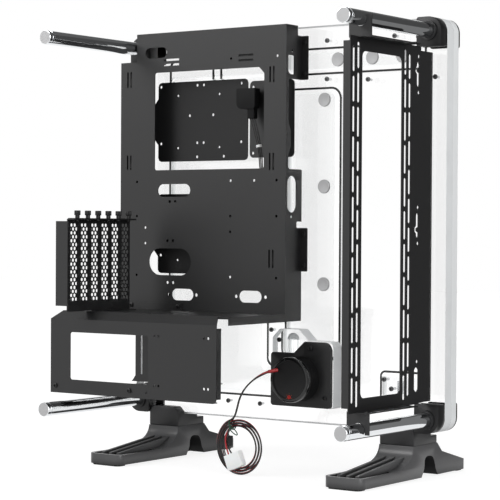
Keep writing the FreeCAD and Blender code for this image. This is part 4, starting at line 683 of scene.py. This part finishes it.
def build_screws() -> None:
    """Screw heads with recesses, and the threads seen inside the clear plate."""
    head = PanHead()
    for node in ("plate_screws", "case_screws", "pump_screws"):
        grids = Grids()
        for low, high in islands(node):
            grids.add(head.grid(low, high))
        coat = Surface.GREY_STEEL if node == "plate_screws" else Surface.BLACK_OXIDE
        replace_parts(grids.build(node + "_recessed", coat, "black_steel"), node)
    threads = Grids()
    for low, high in islands("plate_screws"):
        middle, _ = round_of(low, high)
        start = (middle[0], high[1] + THREAD_GAP_MM * MM, middle[2])
        threads.add(PLATE_THREAD.grid(start))
    # The threads' finish carries a painted glow.
    threads.build("plate_screw_threads", Surface.BARE_STEEL, "black_steel")


# Rings of turned pieces: what is taken off the radius, and the depth.
AXIS = math.inf
PLUG_DISC_MM = 2.4
PLUG_DISC_RINGS = ((AXIS, 0.12), (2.2, 0.12), (1.9, 0.0), (0.4, 0.0), (0.0, 0.4), (0.0, PLUG_DISC_MM),
                   (AXIS, PLUG_DISC_MM))
PLUG_STEM_SHARE, PLUG_STEM_PITCH_MM, PLUG_STEM_COLUMNS = 0.66, 1.3, 48
POST_RINGS = ((1.4, 0.0), (0.15, 0.0), (0.0, 0.15))
CAP_RIM_RINGS = ((0.7, 0.0), (0.25, 0.08), (0.0, 0.4), (0.0, 5.5), (0.6, 5.7), (0.6, 6.8), (0.0, 7.0),
                 (0.0, 9.0))
CAP_FACE_RINGS = ((0.7, 0.0), (3.6, -0.03), (AXIS, -0.04))
PUMP_SHELL_RINGS = ((4.1, 1.0), (4.1, 0.15), (3.8, -0.1), (1.6, -0.1), (0.5, 0.35), (0.0, 1.5), (0.0, 6.0),
                    (0.4, 6.3), (0.4, 7.0), (0.0, 7.3), (0.0, 26.0))
NUT_RADIUS_MM = 3.4
NUT_RINGS = ((0.0, 0.05), (0.0, 1.2), (0.6, 1.4), (0.6, 4.4), (1.0, 4.8), (AXIS, 4.8))
POST_SEGMENTS, SHELL_SEGMENTS, NUT_SEGMENTS = 128, 160, 32


def build_plugs() -> None:
    """Turned stop plugs with a chamfered disc and a threaded stem."""
    discs, stems = Grids(), Grids()
    for low, high in islands("port_plugs"):
        centre, radius = round_of(low, high)
        discs.add(turned(PLUG_DISC_RINGS, radius, centre))
        thick = PLUG_DISC_MM * MM
        stem = Thread(radius * PLUG_STEM_SHARE, high[1] - low[1] - thick, PLUG_STEM_PITCH_MM * MM,
                      PLUG_STEM_COLUMNS)
        stems.add(stem.grid(centre + (0.0, thick, 0.0)))
    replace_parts(discs.build("port_plug_discs", Surface.MATT_ALUMINIUM, "satin_aluminium"), "port_plugs")
    # The stems share the threads' painted glow.
    stems.build("port_plug_stems", Surface.BARE_STEEL, "satin_aluminium")


def build_posts() -> None:
    """Round chromed posts and their turned end caps."""
    tubes = Grids()
    nodes = [name for name in frame["nodes"] if name.startswith("standoff_tube")]
    for name in nodes:
        low, high = box_of(name)
        centre, radius = round_of(low, high)
        rings = (*POST_RINGS, (0.0, (high[1] - low[1]) / MM))
        tubes.add(turned(rings, radius, centre, POST_SEGMENTS))
    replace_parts(tubes.build("chromed_posts", Surface.CHROME, "chrome_tube"), *nodes)
    rims, faces = Grids(), Grids()
    for low, high in islands("tube_end_caps"):
        centre, radius = round_of(low, high)
        rims.add(turned(CAP_RIM_RINGS, radius, centre, POST_SEGMENTS))
        faces.add(turned(CAP_FACE_RINGS, radius, centre, POST_SEGMENTS))
    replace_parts(rims.build("end_cap_rims", Surface.CHROME, "satin_aluminium"), "tube_end_caps")
    faces.build("end_cap_faces", Surface.MATT_ALUMINIUM, "satin_aluminium")


@dataclass(frozen=True)
class ThumbScrew:
    """Knurled thumb screw standing on a slot cover's tab."""

    ribs: int = 24
    rib_depth: float = 0.35 * MM
    head: float = 6.0 * MM
    chamfer: float = 0.5 * MM
    neck_share: float = 0.72
    recess: float = 1.2 * MM
    arm_reach: float = 0.62
    arm_width: float = 0.24
    rows: int = 12
    columns: int = 144

    def grid(self, low: Array, high: Array) -> Array:
        """The screw in the box of its CAD solid.

        Args:
            low: lowest corner.
            high: highest corner.

        Returns:
            Grid of points.
        """
        middle = (low + high) / 2
        radius = (high[0] - low[0]) / 2
        neck, face = radius * self.neck_share, radius - self.chamfer
        top = high[2]
        seat = top - self.head
        side = np.array([(neck, low[2]), (neck, seat), (face, seat), (radius, seat + self.chamfer),
                         (radius, top - self.chamfer), (face, top)])
        ribbed = np.array([0.0, 0.0, 0.3, 1.0, 1.0, 0.3])[:, None]
        angle = angles(self.columns)[None, :]
        knurl = 0.5 - 0.5 * np.cos(self.ribs * angle)
        across = side[:, :1] - self.rib_depth * ribbed * knurl
        flat = face * np.linspace(1.0, 1e-3, self.rows)[:, None] + 0.0 * angle
        reach = np.concatenate([across, flat])
        height = np.concatenate([side[:, 1:] + 0.0 * angle, np.full_like(flat, top)])
        x, y = reach * np.cos(angle), reach * np.sin(angle)
        arms = cross_recess(x, y, radius * self.arm_reach, radius * self.arm_width)
        height[len(side):] -= self.recess * arms[len(side):]
        return np.stack([middle[0] + x, middle[1] + y, height], axis=2)


def build_thumb_screws() -> None:
    """Knurled screws over the slot covers."""
    grids = Grids()
    for low, high in islands("slot_thumb_screws"):
        grids.add(ThumbScrew().grid(low, high))
    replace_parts(grids.build("knurled_thumb_screws", Surface.BLACK_OXIDE, "black_steel"), "slot_thumb_screws")


SHELL_GAP_MM = 0.1
DIAL_MARKS_DEG = (-20.0, 35.0, 90.0, 145.0, 200.0)
# From the dial's middle to both ends of a mark, half a mark's width, and its depth behind the pump's front.
DIAL_MARK_ENDS_MM = (3.9, 4.9)
DIAL_MARK_HALF_MM = 0.2
DIAL_MARK_DEPTH_MM = 0.94


def build_pump_shell() -> None:
    """Smooth round shell over the pump's motor, and the marks round its dial."""
    centre, radius = round_of(*box_of("pump_body"))
    shell = Grids()
    shell.add(turned(PUMP_SHELL_RINGS, radius + SHELL_GAP_MM * MM, centre, SHELL_SEGMENTS))
    shell.build("pump_shell", Surface.GLOSS_MOULDING, "black_plastic")
    dial, _ = round_of(*box_of("pump_dial"))
    ends, sides = np.array(DIAL_MARK_ENDS_MM) * MM, np.array((-1.0, 1.0)) * DIAL_MARK_HALF_MM * MM
    marks = Grids()
    for turn in np.radians(DIAL_MARKS_DEG):
        along = np.array([math.cos(turn), math.sin(turn)])
        aside = np.array([-along[1], along[0]])
        flat = dial[[0, 2]] + ends[:, None, None] * along + sides[None, :, None] * aside
        depth = np.full(flat.shape[:2], centre[1] + DIAL_MARK_DEPTH_MM * MM)
        marks.add(np.stack([flat[..., 0], depth, flat[..., 1]], axis=2), wrap=False)
    marks.build("dial_marks", Surface.ORANGE_PRINT, "red_plastic")


@dataclass(frozen=True)
class Wire:
    """One insulated wire: its route in millimetres, diameter, finish and far end."""

    name: str
    route: Array
    diameter_mm: float
    surface: Surface
    slot: str
    lay: str
    end: str

    def build(self) -> bpy.types.Object:
        """The wire as a smooth round curve that moves with the case.

        Returns:
            The curve object.
        """
        data = bpy.data.curves.new(self.name, "CURVE")
        data.dimensions = "3D"
        data.bevel_depth = self.diameter_mm * MM / 2
        data.bevel_resolution = 5
        data.use_fill_caps = True
        data.resolution_u = 6
        spline = data.splines.new("NURBS")
        spline.points.add(len(self.route) - 1)
        points = np.concatenate([self.route * MM, np.ones((len(self.route), 1))], axis=1)
        spline.points.foreach_set("co", points.ravel())
        spline.order_u = 3
        spline.use_endpoint_u = True
        data.materials.append(self.surface.material())
        made = add_object(self.name, data)
        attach(made, CASE)
        return made


LEAD_ROUTE = np.array([
    (31.9, -4.7, 128.4), (28.4, -9.4, 127.7), (24.0, -14.0, 126.2), (18.4, -20.2, 122.8),
    (12.6, -27.0, 117.6), (7.6, -34.0, 110.6), (4.2, -41.0, 102.0), (3.0, -47.0, 92.4),
    (3.4, -51.6, 82.6), (2.9, -54.4, 74.6), (0.6, -55.84, 69.0)])
CABLE_ROUTE = np.array([
    (20.0, 22.0, 539.8), (20.6, 22.3, 505.0), (21.4, 22.0, 455.0), (21.8, 21.7, 405.0),
    (21.5, 22.0, 377.75), (11.25, 22.3, 367.5), (-3.25, 22.3, 367.4), (-13.5, 22.0, 377.75),
    (-14.4, 21.7, 400.0), (-19.8, 21.9, 424.0), (-28.0, 22.0, 447.6)])
COIL_CENTRE = np.array((13.0, -57.0, 35.2))
# Ends of the wires from the coil to their plugs.
RED_END = COIL_CENTRE + [(-21.6, -2.0, 12.6), (-20.4, -4.2, 6.6), (-17.8, -6.4, 0.5), (-14.0, -8.4, -5.2),
                         (-11.2, -9.9, -9.3)]
BLACK_END = COIL_CENTRE + [(-21.4, 0.6, 11.4), (-18.6, -2.6, 5.0), (-14.8, -5.8, -0.6), (-10.4, -8.6, -4.4),
                           (-6.9, -9.9, -7.4)]
SPEED_END = COIL_CENTRE + [(-24.0, 5.6, 14.6), (-23.2, 7.5, 11.6)]
RED_COIL_SHIFT = (-2.0, 0.0, 0.6)
SPEED_LEAD_SHIFT = (0.0, 1.75, 0.6)
# The two power wires lie this far from the lead's middle, and change sides between two of its points.
LEAD_REACH = 1.06
TWIST_POINTS = (1.0, 4.0)
LEAD_TOWARD, LEAD_ASIDE = np.array((0.58, -0.81, 0.0)), np.array((0.3, 0.2, 0.93))
# Panel wires lie side by side and fan out towards their plugs.
PANEL_WIRE_GAP, PANEL_WIRE_FAN, FAN_POWER = 1.65, 2.4, 3


@dataclass(frozen=True)
class Coil:
    """Turns of a wound lead, each inside the last, in millimetres."""

    turns: float
    radius: float
    pitch: float
    depth: float
    loose: float = 0.8
    sway: float = 0.25
    start_deg: float = 128.0
    step_deg: float = 24.0

    def points(self) -> Array:
        """Points of the turns, from the outermost."""
        turned_by = np.arange(0.0, self.turns * 360.0 + 0.1, self.step_deg)
        angle = np.radians(self.start_deg + turned_by)
        done = turned_by / 360.0
        reach = self.radius - (self.pitch + self.loose * np.cos(angle)) * done
        behind = self.depth + self.sway * np.sin(2.0 * angle + done)
        return COIL_CENTRE + np.stack([reach * np.cos(angle), behind, reach * np.sin(angle)], axis=1)


def lead_twist(reach: float) -> Array:
    """Offsets of one wire along the lead, which gives half a turn between the pump and the coil."""
    share = np.interp(np.arange(len(LEAD_ROUTE)), TWIST_POINTS, (0.0, 1.0))[:, None]
    return reach * (np.cos(math.pi * share) * LEAD_TOWARD + np.sin(math.pi * share) * LEAD_ASIDE)


def build_wires() -> None:
    """Wires of the pump's lead, wound up, and of the panel switches."""
    red = np.concatenate([LEAD_ROUTE + lead_twist(LEAD_REACH),
                          Coil(3.0, 36.0, 3.4, 1.3).points() + RED_COIL_SHIFT, RED_END])
    black = np.concatenate([LEAD_ROUTE + lead_twist(-LEAD_REACH), Coil(3.0, 36.0, 3.4, -1.3).points(),
                            BLACK_END])
    speed = np.concatenate([LEAD_ROUTE + SPEED_LEAD_SHIFT, Coil(2.0, 31.6, 2.6, 3.6, loose=0.5).points(),
                            SPEED_END])
    lead, black_coat = ("lead_insulation", "coiled"), Surface.BLACK_VINYL
    wires = [
        Wire("red_wire", red, 2.0, Surface.RED_VINYL, *lead, "power_connector"),
        Wire("black_wire", black, 2.0, black_coat, *lead, "power_connector"),
        Wire("speed_wire", speed, 1.4, black_coat, *lead, "speed_connector"),
    ]
    fan = np.linspace(0.0, 1.0, len(CABLE_ROUTE))[:, None] ** FAN_POWER
    for number, side in enumerate((-1.0, 0.0, 1.0), start=1):
        route = CABLE_ROUTE + (0.0, PANEL_WIRE_GAP * side, 0.0) + fan * (PANEL_WIRE_FAN * side, 0.0, 0.0)
        wires.append(Wire("panel_wire_%d" % number, route, 1.5, black_coat, "cable_insulation", "hanging",
                          "panel_connectors"))
    made = {wire.name: wire.build() for wire in wires}
    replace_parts(made["red_wire"], "pump_lead", "lead_coil")
    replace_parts(made["panel_wire_2"], "panel_cables")


SECTION_POINTS = 16


def swept(line: Array, wide_way: Array, halves: Array | Sequence[float]) -> Array:
    """An oval section carried along a line.

    Args:
        line: points of the line in millimetres.
        wide_way: direction that the section's width keeps to.
        halves: half its width and half its thickness in millimetres, for each point or for all.

    Returns:
        Grid of points in metres, one row for each point of the line.
    """
    run = np.gradient(line, axis=0)
    run /= np.linalg.norm(run, axis=1, keepdims=True)
    wide = wide_way - run * (run @ wide_way)[:, None]
    wide /= np.linalg.norm(wide, axis=1, keepdims=True)
    thick = np.cross(run, wide)
    around = angles(SECTION_POINTS)[None, :, None]
    half_wide, half_thick = np.broadcast_to(halves, (len(line), 2)).T[:, :, None, None]
    sides = half_wide * np.cos(around) * wide[:, None, :] + half_thick * np.sin(around) * thick[:, None, :]
    return (line[:, None, :] + sides) * MM


@dataclass(frozen=True)
class TwistTie:
    """Twist tie wound twice round the coil, with its end bent into a loop, in millimetres."""

    place_deg: float = 116.0
    coil_reach: float = 29.6
    inner: float = 5.7
    growth: float = 0.25
    spread: float = 0.7
    half_wide: float = 0.75
    half_thick: float = 0.4
    loop_start: tuple[float, float] = (6.6, -2.4)
    loop_half: tuple[float, float] = (7.5, 2.2)
    loop_rise: float = 0.2
    wound_points: int = 120
    loop_points: int = 60

    def build(self) -> None:
        """Makes the tie in place of its CAD node."""
        turn = math.radians(self.place_deg)
        across = np.array((math.cos(turn), 0.0, math.sin(turn)))
        along = np.array((-math.sin(turn), 0.0, math.cos(turn)))
        toward = np.array((0.0, -1.0, 0.0))
        middle = COIL_CENTRE + self.coil_reach * across
        angle = np.linspace(0.0, 2.0 * FULL_TURN, self.wound_points)[:, None]
        half_turns = angle / math.pi
        reach = self.inner + self.growth * half_turns
        wound = (middle + reach * (np.cos(angle) * across + np.sin(angle) * toward)
                 + (half_turns - 2.0) * self.spread * along)
        start = middle + self.loop_start[0] * toward + self.loop_start[1] * across
        sweep = np.linspace(0.0, FULL_TURN, self.loop_points)[:, None]
        hang, beside = np.array((0.8, 0.0, -0.6)), np.array((0.6, 0.0, 0.8))
        loop = (start + self.loop_half[0] * (1.0 - np.cos(sweep)) * hang
                + self.loop_half[1] * np.sin(sweep) * beside + self.loop_rise * sweep * toward)
        grids = Grids()
        for line in (wound, loop):
            grids.add(swept(line, along, (self.half_wide, self.half_thick)))
        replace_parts(grids.build("twist_tie", Surface.GREEN_VINYL, "tie_plastic"), "lead_tie")


SLEEVE_ROWS = 24
# Half the sleeve's width at shares of its length.
SLEEVE_HALF_MM = ((0.0, 0.8, 0.97, 1.0), (2.3, 2.25, 2.2, 1.9))


def build_lead_sleeve() -> None:
    """Red sleeve shrunk on the lead where it leaves the pump."""
    share = np.linspace(0.0, 1.0, SLEEVE_ROWS)[:, None]
    first, second, third = LEAD_ROUTE[:3]
    line = first * (1.0 - share) ** 2 + 2.0 * second * share * (1.0 - share) + third * share ** 2
    grids = Grids()
    grids.add(swept(line, np.array((0.0, 0.0, 1.0)), np.interp(share, *SLEEVE_HALF_MM)))
    grids.build("lead_sleeve", Surface.RED_VINYL, "lead_insulation")


# Pressed loops behind the tray's slits (left, right, bottom, top) and blind nuts behind its board holes.
LOOPS_MM = ((-230.8, -217.8, 494.3, 515.3), (-230.8, -217.8, 384.3, 403.3), (2.2, 15.2, 492.3, 512.3),
            (2.2, 15.2, 380.7, 402.3), (2.2, 15.2, 256.3, 279.3), (-43.6, -18.5, 519.7, 530.9))
LOOP_LAP_MM, LOOP_FOOT_MM, LOOP_BULGE_MM = 1.0, 0.1, 3.0
LOOP_ROWS, LOOP_COLUMNS, LOOP_POWER = 24, 6, 0.6
NUTS_MM = ((18.7, 367.82), (18.7, 322.1), (18.7, 243.36), (-208.63, 367.82), (-208.63, 322.1),
           (-208.63, 243.36), (-53.69, 525.3))
TRAY_BACK_MM = 11.2


def build_tray_details() -> None:
    """Loops for cable straps pressed out of the tray's back, and its pressed-in nuts."""
    grids = Grids()
    rows, columns = np.linspace(0.0, 1.0, LOOP_ROWS), np.linspace(0.0, 1.0, LOOP_COLUMNS)
    along, aside = np.meshgrid(rows, columns, indexing="ij")
    depth = TRAY_BACK_MM + LOOP_FOOT_MM + LOOP_BULGE_MM * np.sin(math.pi * along) ** LOOP_POWER
    for left, right, bottom, top in LOOPS_MM:
        across, up = (aside, along) if top - bottom > right - left else (along, aside)
        height = bottom - LOOP_LAP_MM + (top - bottom + 2.0 * LOOP_LAP_MM) * up
        grids.add(np.stack([left + (right - left) * across, depth, height], axis=2) * MM, wrap=False)
    grids.build("strap_loops", Surface.POWDER_COAT, "black_steel")
    nuts = Grids()
    for across, up in NUTS_MM:
        centre = np.array((across, TRAY_BACK_MM, up)) * MM
        nuts.add(turned(NUT_RINGS, NUT_RADIUS_MM * MM, centre, NUT_SEGMENTS))
    nuts.build("tray_nuts", Surface.BLACK_OXIDE, "black_steel")


# Planes of flat sheets: which axes run across, up and away from the near side.
XZ_PLANE, YZ_PLANE, XY_PLANE = (0, 2, 1), (1, 2, 0), (0, 1, 2)
# The drive plate behind the tray's window: its outline, its holes with their radius, and how far the lower
# plate stands from it.
DRIVE_PLATE_MM = np.array([
    (-187.0, 395.1), (-49.6, 395.1), (-46.0, 396.6), (-44.4, 400.4), (-44.4, 495.8), (-46.0, 499.6),
    (-49.6, 501.1), (-187.0, 501.1), (-190.8, 499.6), (-192.4, 495.8), (-192.4, 479.6), (-200.0, 470.4),
    (-200.0, 426.6), (-192.4, 417.7), (-192.4, 400.4), (-190.8, 396.6)])
DRIVE_HOLES_MM = (
    (-188.0, 495.4, 1.9), (-127.1, 495.6, 1.9), (-116.5, 495.6, 1.9), (-55.3, 495.4, 1.9),
    (-159.1, 482.7, 1.6), (-90.7, 482.7, 1.6), (-139.6, 455.7, 1.9), (-100.8, 455.7, 1.9),
    (-187.7, 419.3, 1.9), (-127.1, 419.4, 1.9), (-116.5, 419.4, 1.9), (-55.2, 419.2, 1.9),
    (-159.1, 413.0, 1.6), (-90.5, 413.0, 1.6), (-127.2, 400.8, 1.9), (-83.3, 400.8, 1.9))
LOWER_PLATE_SHIFT_MM = (0.1, -149.4)
# Honeycomb of the slot covers, their tabs' screw holes, and the sill under the front ones.
MESH_PITCH_MM = (6.25, 4.955)
MESH_TOP_MM = 309.3
MESH_ROWS = 20
MESH_RADIUS_MM = 2.55
COVER_THICK_MM = 1.0
COVER_SCREW_MM, COVER_SCREW_INSET_MM = 2.3, 5.5
SILL_MM = corners_of((-150.0, 199.6), (-100.95, 206.69))
SILL_THICK_MM = 1.2
# Gasket of the left reservoir: corners of its centre line with their radius, and its width.
GASKET_MM = np.array([
    (-187.3, 88.0, 9.0), (9.2, 88.0, 9.0), (9.2, 128.4, 9.0), (-24.8, 128.4, 9.0), (-24.8, 531.0, 9.0),
    (-102.7, 531.0, 9.0), (-102.7, 492.0, 5.0), (-115.7, 492.0, 5.0), (-115.7, 531.0, 9.0),
    (-187.3, 531.0, 9.0)])
GASKET_WIDE_MM, GASKET_GAP_MM = 2.6, 0.1
CORNER_POINTS = 9


def rubber_loop(corners: Array, aside: float) -> Array:
    """Outline of a moulded gasket with round corners.

    Args:
        corners: flat coordinates of each corner and its radius, in the order against the clock.
        aside: distance outwards from the centre line.

    Returns:
        Points of the outline.
    """
    flat, radius = corners[:, :2], corners[:, 2:]
    back = np.roll(flat, 1, axis=0) - flat
    ahead = np.roll(flat, -1, axis=0) - flat
    back /= np.linalg.norm(back, axis=1, keepdims=True)
    ahead /= np.linalg.norm(ahead, axis=1, keepdims=True)
    middle = flat + radius * (back + ahead)
    share = np.linspace(0.0, math.pi / 2, CORNER_POINTS)[None, :, None]
    left = np.sign(ahead[:, 0] * back[:, 1] - ahead[:, 1] * back[:, 0])[:, None]
    reach = (radius + left * aside)[:, None, :]
    arc = middle[:, None, :] - reach * (np.cos(share) * ahead[:, None, :] + np.sin(share) * back[:, None, :])
    return arc.reshape(-1, 2)


def build_gasket() -> None:
    """Gasket of the left reservoir, which runs up behind the tray and dips between the two channels."""
    low, high = (v / MM for v in box_of("gasket_left_reservoir"))
    half = GASKET_WIDE_MM / 2
    grids = Grids()
    Sheet(rubber_loop(GASKET_MM, half), (rubber_loop(GASKET_MM, -half),), low[1], high[1] - GASKET_GAP_MM,
          XZ_PLANE).add_to(grids)
    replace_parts(grids.build("left_gasket", Surface.RUBBER, "gasket_rubber"), "gasket_left_reservoir")


def build_drive_plates() -> None:
    """Two equal drive plates with all their holes and cut corners beside their tabs."""
    for node, shift in (("drive_bracket_upper", (0.0, 0.0)), ("drive_bracket_lower", LOWER_PLATE_SHIFT_MM)):
        low, high = (v / MM for v in box_of(node))
        holes = tuple(ring(*hole) + shift for hole in DRIVE_HOLES_MM)
        grids = Grids()
        Sheet(DRIVE_PLATE_MM + shift, holes, low[1], high[1], XZ_PLANE).add_to(grids)
        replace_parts(grids.build(node + "_punched", Surface.DULL_COAT, "black_steel"), node)


def cover_mesh(middle: float) -> tuple[Array, ...]:
    """Six-sided holes of one slot cover, two and three in turn.

    Args:
        middle: the cover's middle along Y in millimetres.

    Returns:
        Corners of each hole.
    """
    aside, down = MESH_PITCH_MM
    return tuple(ring(middle + share * aside, MESH_TOP_MM - row * down, MESH_RADIUS_MM, 6)
                 for row in range(MESH_ROWS) for share in ((-1.0, 0.0, 1.0) if row % 2 else (-0.5, 0.5)))


def build_slot_covers() -> None:
    """Slot covers with staggered six-sided holes and folded tabs."""
    for name in [n for n in frame["nodes"] if n.startswith("slot_cover_")]:
        low, high = (v / MM for v in box_of(name))
        seat = high[2] - COVER_THICK_MM
        middle = (low[1] + high[1]) / 2
        blank = corners_of(low[1:], (high[1], seat))
        tab = corners_of(low[:2], high[:2])
        screw = ring(high[0] - COVER_SCREW_INSET_MM, middle, COVER_SCREW_MM)
        grids = Grids()
        Sheet(blank, cover_mesh(middle), low[0] + COVER_THICK_MM, low[0], YZ_PLANE).add_to(grids)
        Sheet(tab, (screw,), high[2], seat, XY_PLANE).add_to(grids)
        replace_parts(grids.build(name + "_mesh", Surface.POWDER_COAT, "black_steel"), name)


def build_sill() -> None:
    """Sill of the slot frame under its front covers."""
    low, _ = (v / MM for v in box_of("slot_cover_1"))
    face = low[0] + COVER_THICK_MM
    sill = Grids()
    Sheet(SILL_MM, (), face + SILL_THICK_MM, face, YZ_PLANE).add_to(sill)
    sill.build("slot_frame_sill", Surface.POWDER_COAT, "black_steel")


@dataclass(frozen=True)
class Camera:
    """The photograph's camera in the case frame."""

    place_mm: tuple[float, float, float] = (1330.0, -1885.4, 305.2)
    azimuth_deg: float = 35.50
    pitch_deg: float = 0.76
    roll_deg: float = 0.32
    focal_px: float = 1817.3
    centre_row_px: float = 253.4
    image_px: float = 500.0
    sensor_mm: float = 36.0

    def build(self) -> None:
        """Makes the camera and sets it as the scene's."""
        turn, tip, roll = (math.radians(a) for a in (self.azimuth_deg, 90.0 - self.pitch_deg, self.roll_deg))
        look = Matrix.Rotation(turn, 4, "Z") @ Matrix.Rotation(tip, 4, "X") @ Matrix.Rotation(roll, 4, "Z")
        data = bpy.data.cameras.new("photograph")
        data.sensor_width = self.sensor_mm
        data.lens = self.focal_px / self.image_px * self.sensor_mm
        data.shift_y = (self.centre_row_px - self.image_px / 2) / self.image_px
        camera = add_object("photograph", data)
        camera.matrix_world = Matrix.Translation(Vector(self.place_mm) * MM) @ look
        bpy.context.scene.camera = camera


CASE_MIDDLE = Vector((0.0, 0.0, 0.28))


@dataclass(frozen=True)
class Lamp:
    """A soft box: where it stands, its size and its power."""

    name: str
    place: tuple[float, float, float]
    size: float
    watts: float

    def build(self) -> None:
        """Makes the lamp, facing the middle of the case."""
        data = bpy.data.lights.new(self.name, "AREA")
        data.size = self.size
        data.energy = self.watts
        lamp = add_object(self.name, data)
        lamp.location = self.place
        lamp.rotation_euler = (CASE_MIDDLE - lamp.location).to_track_quat("-Z", "Y").to_euler()


LAMPS = (
    Lamp("key_box", (-1.5, -2.2, 1.9), 1.4, 42.0),
    Lamp("fill_box", (2.4, -0.9, 0.9), 1.6, 38.0),
    Lamp("top_box", (0.0, 0.3, 2.6), 1.8, 4.0),
)


def seen_directly(tree: bpy.types.NodeTree) -> bpy.types.Node:
    """One for camera, glossy and transmission rays, and nought for the light that falls on things."""
    path = add_node(tree, "LightPath")
    first = add_node(tree, "Math", operation="MAXIMUM",
                     links={0: path.outputs["Is Camera Ray"], 1: path.outputs["Is Glossy Ray"]})
    through = path.outputs["Is Transmission Ray"]
    return add_node(tree, "Math", operation="MAXIMUM", links={0: first, 1: through})


def build_world() -> None:
    """White surroundings to look at, softer ones to be lit by."""
    world = bpy.data.worlds.new("studio")
    world.use_nodes = True
    tree = world.node_tree
    tree.nodes.clear()
    toward = add_node(tree, "TexCoord").outputs["Generated"]
    upward = add_node(tree, "SeparateXYZ", links={0: toward}).outputs["Z"]
    level = add_node(tree, "MapRange",
                     {"From Min": 0.1, "From Max": 0.9, "To Min": 0.75, "To Max": 0.22}, {"Value": upward})
    ambient = add_node(tree, "Background", {"Color": WHITE}, {"Strength": level})
    white = add_node(tree, "Background", {"Color": WHITE, "Strength": 1.0})
    mix = add_node(tree, "MixShader", links={0: seen_directly(tree), 1: ambient, 2: white})
    add_node(tree, "OutputWorld", links={"Surface": mix})
    bpy.context.scene.world = world


def build_floor(half: float = 6.0, below: float = 0.0003) -> None:
    """Pale floor that keeps a soft shadow round the case and is plain white further out.

    Args:
        half: half its side.
        below: its depth under the feet.
    """
    mesh = bpy.data.meshes.new("floor")
    mesh.from_pydata(corners_of((-half, -half, -below), (half, half, -below)), [], [range(4)])
    material = empty_material("pale_floor")
    tree = material.node_tree
    place = add_node(tree, "TexCoord").outputs["Object"]
    distance = add_node(tree, "VectorMath", links={0: place}, operation="LENGTH")
    share = add_node(tree, "MapRange",
                     {"From Min": 0.35, "From Max": 1.3, "To Min": 0.84, "To Max": 0.9},
                     {"Value": distance.outputs["Value"]}, interpolation_type="SMOOTHSTEP")
    shown = add_node(tree, "Math", links={0: share, 1: seen_directly(tree)}, operation="MULTIPLY")
    pale = add_node(tree, "BsdfDiffuse", {"Color": FLOOR_GREY})
    glow = add_node(tree, "Emission", {"Color": WHITE}, {"Strength": shown})
    both = add_node(tree, "AddShader", links={0: pale, 1: glow})
    add_node(tree, "OutputMaterial", links={"Surface": both})
    mesh.materials.append(material)
    add_object("floor", mesh)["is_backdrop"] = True


@dataclass(frozen=True)
class ReflectedCard:
    """A grey card seen only in reflections: a painted reflection, which neither the camera, the light nor
    shadows meet.
    """

    name: str
    level: float
    low: tuple[float, float, float]
    high: tuple[float, float, float]

    def build(self) -> None:
        """Makes the card."""
        mesh = bpy.data.meshes.new(self.name)
        mesh.from_pydata(corners_of(self.low, self.high), [], [range(4)])
        material = empty_material(self.name)
        grey = add_node(material.node_tree, "Emission", {"Color": WHITE, "Strength": self.level})
        add_node(material.node_tree, "OutputMaterial", links={"Surface": grey})
        mesh.materials.append(material)
        card = add_object(self.name, mesh)
        # Glossy rays alone see the card, which paints its reflection.
        for ray in ("camera", "diffuse", "transmission", "shadow"):
            setattr(card, "visible_" + ray, False)
        card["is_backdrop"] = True


REFLECTED_CARDS = (
    ReflectedCard("back_card", 0.07, (0.2, 2.8, 0.01), (3.4, 2.8, 2.6)),
    ReflectedCard("side_card", 0.05, (2.4, -0.6, 0.01), (2.4, 2.8, 2.6)),
    ReflectedCard("ceiling_card", 0.12, (-2.4, -2.4, 2.6), (3.4, 4.5, 2.6)),
    # Painted reflection right behind the bracket, where nothing stands.
    ReflectedCard("near_card", 0.2, (0.215, 0.043, 0.06), (0.34, 0.043, 0.55)),
    # Painted reflections of a grey floor, lying on the white floor.
    ReflectedCard("floor_card", 0.08, (0.1, 0.7, 0.005), (2.4, 2.8, 0.005)),
    ReflectedCard("floor_side_card", 0.08, (0.5, -0.3, 0.005), (2.4, 0.7, 0.005)),
)


def write_sizes() -> None:
    """Brings the scene's view layer up to date."""
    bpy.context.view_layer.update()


def main() -> None:
    """Builds the looks round the loaded frame."""
    logging.basicConfig(level=logging.INFO)
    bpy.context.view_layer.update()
    Camera().build()
    dress_frame()
    build_wires()
    TwistTie().build()
    build_lead_sleeve()
    build_tray_details()
    build_gasket()
    build_drive_plates()
    build_slot_covers()
    build_sill()
    build_screws()
    build_plugs()
    build_posts()
    build_thumb_screws()
    build_pump_shell()
    build_world()
    build_floor()
    for light in (*LAMPS, *REFLECTED_CARDS):
        light.build()
    bpy.context.scene.view_settings.view_transform = "Standard"
    write_sizes()
    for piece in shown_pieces():
        log.info("piece %s", piece.name)


if __name__ == "__main__":
    main()
